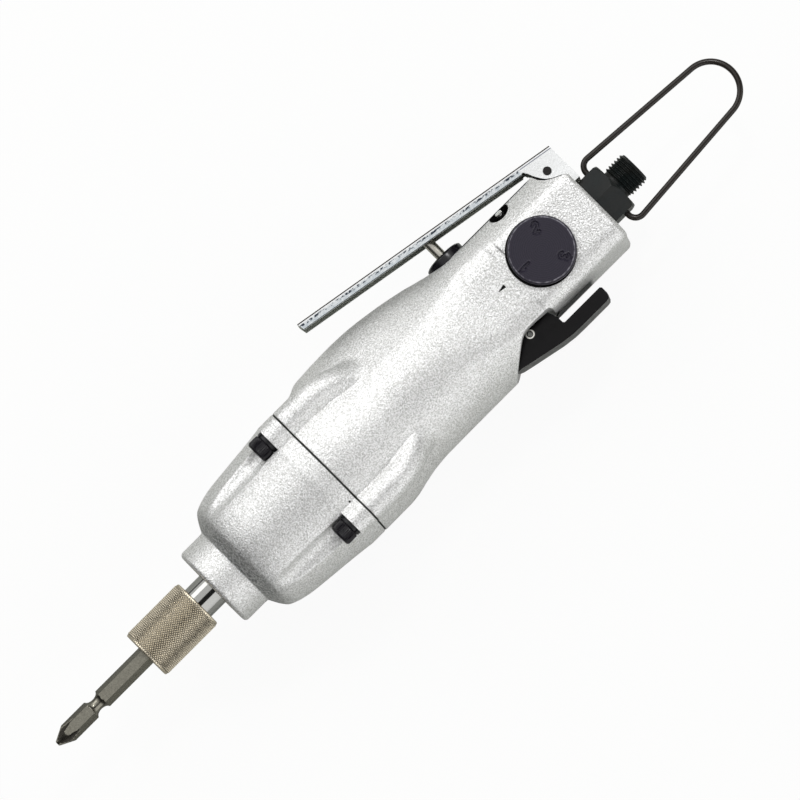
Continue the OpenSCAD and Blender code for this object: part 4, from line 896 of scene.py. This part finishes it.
def zinc_marks(g, col):
    """Mottled zinc plate: blue-grey walls with dark flecks, bright cheeks, dark edges, painted
    shade.
    """
    x, y, z = g.place()
    patches = g.noise(1 / 0.9, 3, 0.5, g.stretched(Scale=(0.9, 1.3, 1.3)))
    # depth below the lever's sloping top
    slope = math.tan(LEVER_SLOPE)
    depth = g.minus(g.minus(PIN[1] + LEVER_RISE + PIN[0] * slope, g.times(x, slope)), y)
    wall = g.calc("GREATER_THAN", g.size(z), 6.86)
    front = g.times(g.ramp(x, 179.0, 177.5), wall)
    cheek = g.times(g.ramp(x, 178.7, 179.0), wall)
    blue = g.times(front, g.ramp(depth, 0.85, 1.1), g.ramp(patches, 0.35, 0.65, 0.35, 0.9))
    col = g.mix(blue, col, (0.50, 0.56, 0.60))
    flecks = g.times(g.ramp(depth, 0.8, 1.0), g.ramp(depth, 1.8, 1.6), front,
                     g.ramp(patches, 0.46, 0.56))
    col = g.mix(flecks, col, (0.025, 0.035, 0.055))
    # painted shade along the bend line of the cheeks
    fold_shade = g.times(g.ramp(depth, 0.85, 0.95), g.ramp(depth, 1.25, 1.15), cheek)
    col = g.mix(fold_shade, col, (0.16, 0.17, 0.22))
    # painted shade along the lower edge of the front walls
    col = g.mix(g.times(front, g.ramp(depth, 2.65, 2.8)), col, (0.06, 0.07, 0.075))
    return g.mix(g.times(g.ramp(depth, 0.46, 0.38), wall), col, (0.035, 0.028, 0.020))


def knurl_groove_shade(g, col):
    """Painted shade in the bottoms of the knurl's crossing grooves, on the same lines as the
    relief.
    """
    x, y, z = g.place()
    x0, x1, radius = SLEEVE
    around, along = KNURL
    turn = g.times(g.calc("ARCTAN2", z, y), around / (2 * math.pi))
    step = g.times(g.minus(x, x0 + KNURL_INSET), along / (x1 - x0 - 2 * KNURL_INSET))
    lines = [g.size(g.minus(g.calc("FRACT", g.calc(op, turn, step)), 0.5))
             for op in ("ADD", "SUBTRACT")]
    groove = g.ramp(g.calc("MAXIMUM", *lines), 0.31, 0.43)
    outside = g.ramp(g.far(y, z), radius - 0.6, radius - 0.5)
    amount = g.times(groove, outside, g.ramp(x, x0 + 0.5, x0 + 0.7), g.ramp(x, x1 - 0.5, x1 - 0.7))
    return g.mix(amount, col, (0.035, 0.030, 0.022))


def material(name, colour, metallic, rough, spread, spot, spot_amount, bump, bump_size, bump_depth,
             wide=9.0, wide_amount=0.06, tint=None, coat=0.0, specular=0.5, grain=0.15,
             marks=None):
    """Metal or plastic with grain in colour, roughness and relief; sizes in millimetres."""
    mat = bpy.data.materials.new(name)
    g = Graph(mat, "ShaderNodeOutputMaterial")
    g.coords = g.node("ShaderNodeTexCoord").outputs["Object"]
    dark = tuple(c * (1 - spot_amount) for c in colour)
    light = tuple(min(1, c * (1 + spot_amount * 0.5)) for c in colour)
    second = tint or tuple(c * (1 - wide_amount) for c in colour)
    col = g.mix(g.ramp(g.noise(spot, 2.0, 0.6), 0.5 - grain, 0.5 + grain), dark, light)
    col = g.mix(g.ramp(g.noise(wide, 3.0, 0.5), 0.35, 0.75, 0.0, min(1, wide_amount * 4)), col,
                second)
    if marks:
        col = marks(g, col)
    inputs = {"Base_Color": col, "Metallic": metallic, "Specular_IOR_Level": specular,
              "Roughness": g.ramp(g.noise(spot * 2.3, 2.0), 0.3, 0.7, max(0.04, rough - spread),
                                  min(1, rough + spread)),
              "Normal": g.shader("ShaderNodeBump", Strength=bump, Distance=bump_depth * MM,
                                 Height=g.noise(bump_size, 3.0, 0.6))}
    if coat:
        inputs.update(Coat_Weight=coat, Coat_Roughness=0.08)
    g.feed(g.out.inputs[0], g.shader("ShaderNodeBsdfPrincipled", **inputs))


# Each finish: colour, metallic, roughness and its spread; size and contrast of the fine spots;
# strength, size and depth of the relief; then what differs from the usual settings
FINISHES = {
    "cast_aluminium": ((0.90, 0.90, 0.875), 0.8, 0.48, 0.09, 0.52, 0.38, 1.0, 0.75, 0.26,
                       dict(wide=14, wide_amount=0.04, grain=0.12, marks=cast_marks)),
    "black_oxide": ((0.006, 0.005, 0.008), 0.0, 0.30, 0.08, 0.5, 0.3, 0.3, 0.5, 0.03,
                    dict(specular=0.3)),
    "black_spring_steel": ((0.025, 0.025, 0.027), 0.2, 0.4, 0.08, 0.5, 0.25, 0.3, 0.5, 0.03,
                           dict(specular=0.3)),
    "gasket_fibre": ((0.03, 0.03, 0.028), 0.0, 0.8, 0.1, 0.4, 0.4, 0.5, 0.4, 0.05, {}),
    "ground_steel": ((0.40, 0.40, 0.385), 1.0, 0.09, 0.03, 0.4, 0.05, 0.1, 0.3, 0.01, {}),
    "champagne_nickel": ((0.86, 0.775, 0.61), 1.0, 0.42, 0.08, 0.8, 0.14, 0.2, 0.4, 0.02,
                         dict(wide=6, wide_amount=0.05, marks=knurl_groove_shade)),
    "tool_steel_brown": ((0.25, 0.24, 0.20), 1.0, 0.27, 0.06, 0.6, 0.2, 0.3, 0.5, 0.03,
                         dict(wide=5, wide_amount=0.08)),
    # painted shade: the darker steel at the bottoms of the bit's flutes
    "flute_painted_shade": ((0.06, 0.055, 0.045), 0.6, 0.38, 0.06, 0.6, 0.2, 0.3, 0.5, 0.03,
                    dict(wide=5, wide_amount=0.08)),
    "zinc_plate": ((0.92, 0.93, 0.93), 0.65, 0.32, 0.06, 0.7, 0.08, 0.2, 0.9, 0.03,
                   dict(wide=5, wide_amount=0.03, marks=zinc_marks)),
    # painted shade: a darker copy of the zinc plate, inside the lever's channel
    "zinc_plate_shaded_inside": ((0.40, 0.42, 0.38), 0.35, 0.5, 0.08, 0.7, 0.2, 0.35, 0.9, 0.05,
                          dict(wide=5, wide_amount=0.1)),
    "dark_pin": ((0.010, 0.008, 0.007), 0.0, 0.4, 0.08, 0.4, 0.3, 0.3, 0.4, 0.02,
                 dict(specular=0.3)),
    "gloss_black": ((0.003, 0.0025, 0.003), 0.0, 0.20, 0.06, 0.9, 0.3, 0.25, 0.9, 0.03,
                    dict(wide=5, wide_amount=0.2, coat=0.05, specular=0.15)),
    "bush_black": ((0.005, 0.0045, 0.007), 0.0, 0.25, 0.05, 0.6, 0.3, 0.2, 0.6, 0.02,
                   dict(coat=0.1, specular=0.3)),
    "dial_violet_black": ((0.019, 0.016, 0.029), 0.0, 0.40, 0.07, 0.45, 0.28, 0.35, 0.4, 0.03,
                          dict(wide=4, wide_amount=0.10, specular=0.3, marks=turned_marks)),
    "inlet_black": ((0.008, 0.011, 0.011), 0.0, 0.34, 0.06, 0.6, 0.2, 0.3, 0.5, 0.03,
                    dict(wide=6, wide_amount=0.2, tint=(0.014, 0.013, 0.011), specular=0.22)),
    "bronze_black_wire": ((0.022, 0.018, 0.015), 0.2, 0.24, 0.06, 0.7, 0.2, 0.2, 0.7, 0.02,
                          dict(wide=5, wide_amount=0.1, specular=0.4)),
    "roll_pin_steel": ((0.80, 0.79, 0.74), 1.0, 0.2, 0.05, 0.5, 0.06, 0.15, 0.5, 0.02,
                       dict(marks=roll_pin_shade)),
    "plug_plate": ((0.86, 0.86, 0.84), 1.0, 0.14, 0.05, 0.5, 0.06, 0.15, 0.5, 0.02,
                   dict(marks=plug_rim_shade)),
    "stem_steel": ((0.50, 0.48, 0.43), 1.0, 0.22, 0.06, 0.4, 0.12, 0.2, 0.4, 0.02, {}),
    "machined_steel": ((0.52, 0.52, 0.52), 1.0, 0.3, 0.07, 0.5, 0.12, 0.25, 0.5, 0.02, {}),
    "hardened_steel": ((0.26, 0.26, 0.27), 1.0, 0.36, 0.07, 0.6, 0.15, 0.3, 0.6, 0.03, {}),
    "bearing_steel": ((0.78, 0.78, 0.80), 1.0, 0.12, 0.04, 0.5, 0.05, 0.1, 0.5, 0.01, {}),
    "bronze": ((0.58, 0.42, 0.20), 1.0, 0.3, 0.06, 0.6, 0.12, 0.25, 0.5, 0.02, {}),
    "ground_iron": ((0.36, 0.36, 0.35), 1.0, 0.42, 0.08, 0.7, 0.18, 0.35, 0.6, 0.03, {}),
    "phenolic": ((0.30, 0.18, 0.09), 0.0, 0.5, 0.08, 0.5, 0.25, 0.3, 0.4, 0.03, {}),
    "nitrile": ((0.02, 0.02, 0.02), 0.0, 0.55, 0.08, 0.4, 0.3, 0.3, 0.4, 0.02, {}),
    "seat_white": ((0.72, 0.71, 0.67), 0.0, 0.4, 0.06, 0.5, 0.08, 0.2, 0.4, 0.02, {})}

# Finishes of the CAD pieces that are kept as they are
KEPT = {
    "case_gasket": "gasket_fibre", "spring_washers": "black_spring_steel", "nose_bush": "bronze",
    "front_end_plate": "ground_iron", "rear_end_plate": "ground_iron",
    "cylinder_liner": "machined_steel", "liner_dowel": "machined_steel",
    "front_bearing_outer": "bearing_steel", "front_bearing_balls": "bearing_steel",
    "front_bearing_inner": "bearing_steel", "rear_bearing_outer": "bearing_steel",
    "rear_bearing_balls": "bearing_steel", "rear_bearing_inner": "bearing_steel",
    "rotor": "machined_steel", "vanes": "phenolic", "hammer_cage": "hardened_steel",
    "hammer_pins": "machined_steel", "hammer_front": "hardened_steel",
    "hammer_rear": "hardened_steel", "anvil": "ground_steel", "lock_ball": "bearing_steel",
    "sleeve_ring": "machined_steel", "sleeve_spring": "machined_steel",
    "stem_o_ring": "nitrile", "valve_seat": "seat_white", "valve_spring": "machined_steel",
    "valve_stem": "stem_steel", "lever_pin": "dark_pin", "dial_o_ring": "nitrile",
    "detent_ball": "bearing_steel", "detent_spring": "machined_steel",
    "reverse_valve": "machined_steel", "roll_pin": "roll_pin_steel",
    "inlet_screen": "machined_steel", "inlet_o_ring": "nitrile",
    "exhaust_screen": "hardened_steel"}


def finish(ob, mat):
    """Gives an object one material and no other."""
    ob.data.materials.clear()
    ob.data.materials.append(bpy.data.materials[mat])


def dress(ob, mat, body, node):
    """Puts an object in the place of a CAD node, with its material and slot."""
    finish(ob, mat)
    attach(ob, body)
    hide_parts(node)
    return ob


# Stage

def build_world():
    """A plain studio, bright from both sides, with dark strips overhead and dark ends."""
    world = bpy.data.worlds.new("studio")
    bpy.context.scene.world = world
    g = Graph(world, "ShaderNodeOutputWorld")
    x, y, z = g.split(g.node("ShaderNodeTexCoord").outputs["Generated"])
    # brightness by the angle in degrees round the tool, from straight up towards the lever
    stops = [(-180, 0.40), (-112, 0.15), (-98, 0.15), (-94, 1.05), (-70, 1.35), (-33, 1.35),
             (-30, 0.03), (-4, 0.03), (-1, 0.97), (46, 0.99), (78, 1.0), (81, 0.15), (94, 0.15),
             (98, 0.75), (180, 0.40)]
    band = g.node("ShaderNodeValToRGB")
    band.color_ramp.interpolation = "EASE"
    points = band.color_ramp.elements
    while len(points) < len(stops):
        points.new(0.5)
    for point, (degrees, value) in zip(points, stops):
        point.position = (degrees + 180) / 360
        point.color = (value, value, value, 1)
    turn = g.times(g.calc("ARCTAN2", y, z), 180 / math.pi)
    g.feed(band.inputs[0], g.calc("DIVIDE", g.calc("ADD", turn, 180.0), 360.0))
    # both ends of the room are darker, the one that the bit points at more so
    ends = [g.ramp(x, *limits, kind="SMOOTHSTEP")
            for limits in ((-0.78, -0.34, 0.05, 1.0), (0.74, 0.86, 1.0, 0.10))]
    lit = g.shader("ShaderNodeBackground", Color=band.outputs[0], Strength=g.times(*ends))
    white = g.shader("ShaderNodeBackground", Color=(1, 1, 1, 1))
    camera = g.node("ShaderNodeLightPath").outputs["Is Camera Ray"]
    g.feed(g.out.inputs[0], g.blend(camera, lit, white))


def build_floor():
    """Pale floor that keeps the shadow and isn't there when it is seen from below."""
    size = 2500
    corners = [(-size, -size, FLOOR_Z), (size, -size, FLOOR_Z), (size, size, FLOOR_Z),
               (-size, size, FLOOR_Z)]
    ob = mesh_object("floor", corners, [(0, 1, 2, 3)], False)
    mat = bpy.data.materials.new("floor_pale")
    g = Graph(mat, "ShaderNodeOutputMaterial")
    camera = g.node("ShaderNodeLightPath").outputs["Is Camera Ray"]
    geometry = g.node("ShaderNodeNewGeometry")
    # painted shade: what the tool's metal mirrors is darker towards the end that the bit points at
    fade = g.ramp(g.split(geometry.outputs["Position"])[0], -0.16, 0.01)
    tone = g.mix(g.calc("MAXIMUM", fade, camera), (0.05, 0.05, 0.05), (0.62, 0.63, 0.60))
    diffuse = g.shader("ShaderNodeBsdfDiffuse", Color=tone)
    glow = g.shader("ShaderNodeEmission", Color=(1, 1, 1, 1), Strength=1.03)
    pale = g.blend(g.times(camera, 0.90), diffuse, glow)
    clear = g.shader("ShaderNodeBsdfTransparent")
    g.feed(g.out.inputs[0], g.blend(geometry.outputs["Backfacing"], pale, clear))
    ob.data.materials.append(mat)


def build_lights():
    """Two area lights, with places and sizes in metres and power in watts."""
    aim = Vector((0.09, 0, 0))
    for name, place, size, power in (("key_inlet_side", (0.62, 0.42, 0.95), (0.16, 0.16), 2.3),
                                     ("soft_lever_side", (0.0, 0.8, 0.7), (0.9, 0.5), 2.4)):
        lamp = bpy.data.lights.new(name, "AREA")
        lamp.shape = "RECTANGLE"
        lamp.size, lamp.size_y = size
        lamp.energy = power
        ob = bpy.data.objects.new(name, lamp)
        bpy.context.scene.collection.objects.link(ob)
        ob.location = place
        ob.rotation_euler = (aim - Vector(place)).to_track_quat("-Z", "Y").to_euler()


def build_camera():
    """Long lens at the photograph's pose: the tool's axis along the picture's diagonal."""
    yaw, tilt = math.radians(1.5), math.radians(6)
    dist, width, sensor = 6.0, 0.2787, 36
    cam = bpy.data.cameras.new("camera")
    ob = bpy.data.objects.new("camera", cam)
    bpy.context.scene.collection.objects.link(ob)
    target = Vector((92.65, 0.35, 0)) * MM
    back = Vector((-math.sin(yaw), -math.sin(tilt), 1.0)).normalized()
    along = Vector((1, 0, 0))
    along = (along - back * along.dot(back)).normalized()
    across = back.cross(along).normalized()
    right = (along - across).normalized()
    up = (along + across).normalized()
    turn = Matrix((right, up, back)).transposed()
    ob.matrix_world = Matrix.Translation(target + back * dist) @ turn.to_4x4()
    cam.type = "PERSP"
    cam.sensor_width = sensor
    cam.lens = sensor * dist / width
    cam.clip_start, cam.clip_end = 0.5, 40
    bpy.context.scene.camera = ob
    bpy.context.scene.view_settings.view_transform = "Standard"


def main():
    for name, (*values, more) in FINISHES.items():
        material(name, *values, **more)
    made = {}
    for build, mat, body, node in (
            (build_front_case, "cast_aluminium", "housing", "front_case"),
            (build_rear_housing, "cast_aluminium", "housing", "rear_housing"),
            (build_screws, "black_oxide", "housing", "case_screws"),
            (build_sleeve, "champagne_nickel", "sleeve", "chuck_sleeve"),
            (build_bit, "tool_steel_brown", "bit", "screwdriver_bit"),
            (build_lever, "zinc_plate", "throttle_lever", "throttle_lever"),
            (build_bush, "bush_black", "housing", "valve_bush"),
            (build_dial, "dial_violet_black", "dial", "regulator_dial"),
            (build_reverse_lever, "gloss_black", "reverse", "reverse_lever"),
            (build_inlet, "inlet_black", "housing", "inlet_bush"),
            (build_bail, "bronze_black_wire", "hanger", "hanger_bail"),
            (build_plug, "plug_plate", "housing", "passage_plug")):
        made[node] = dress(build(), mat, body, node)
    flute_faces(made["screwdriver_bit"], "flute_painted_shade")
    inner_faces(made["throttle_lever"], "zinc_plate_shaded_inside")
    for name, mat in KEPT.items():
        finish(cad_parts[name], mat)
    build_world()
    build_floor()
    build_lights()
    build_camera()


main()
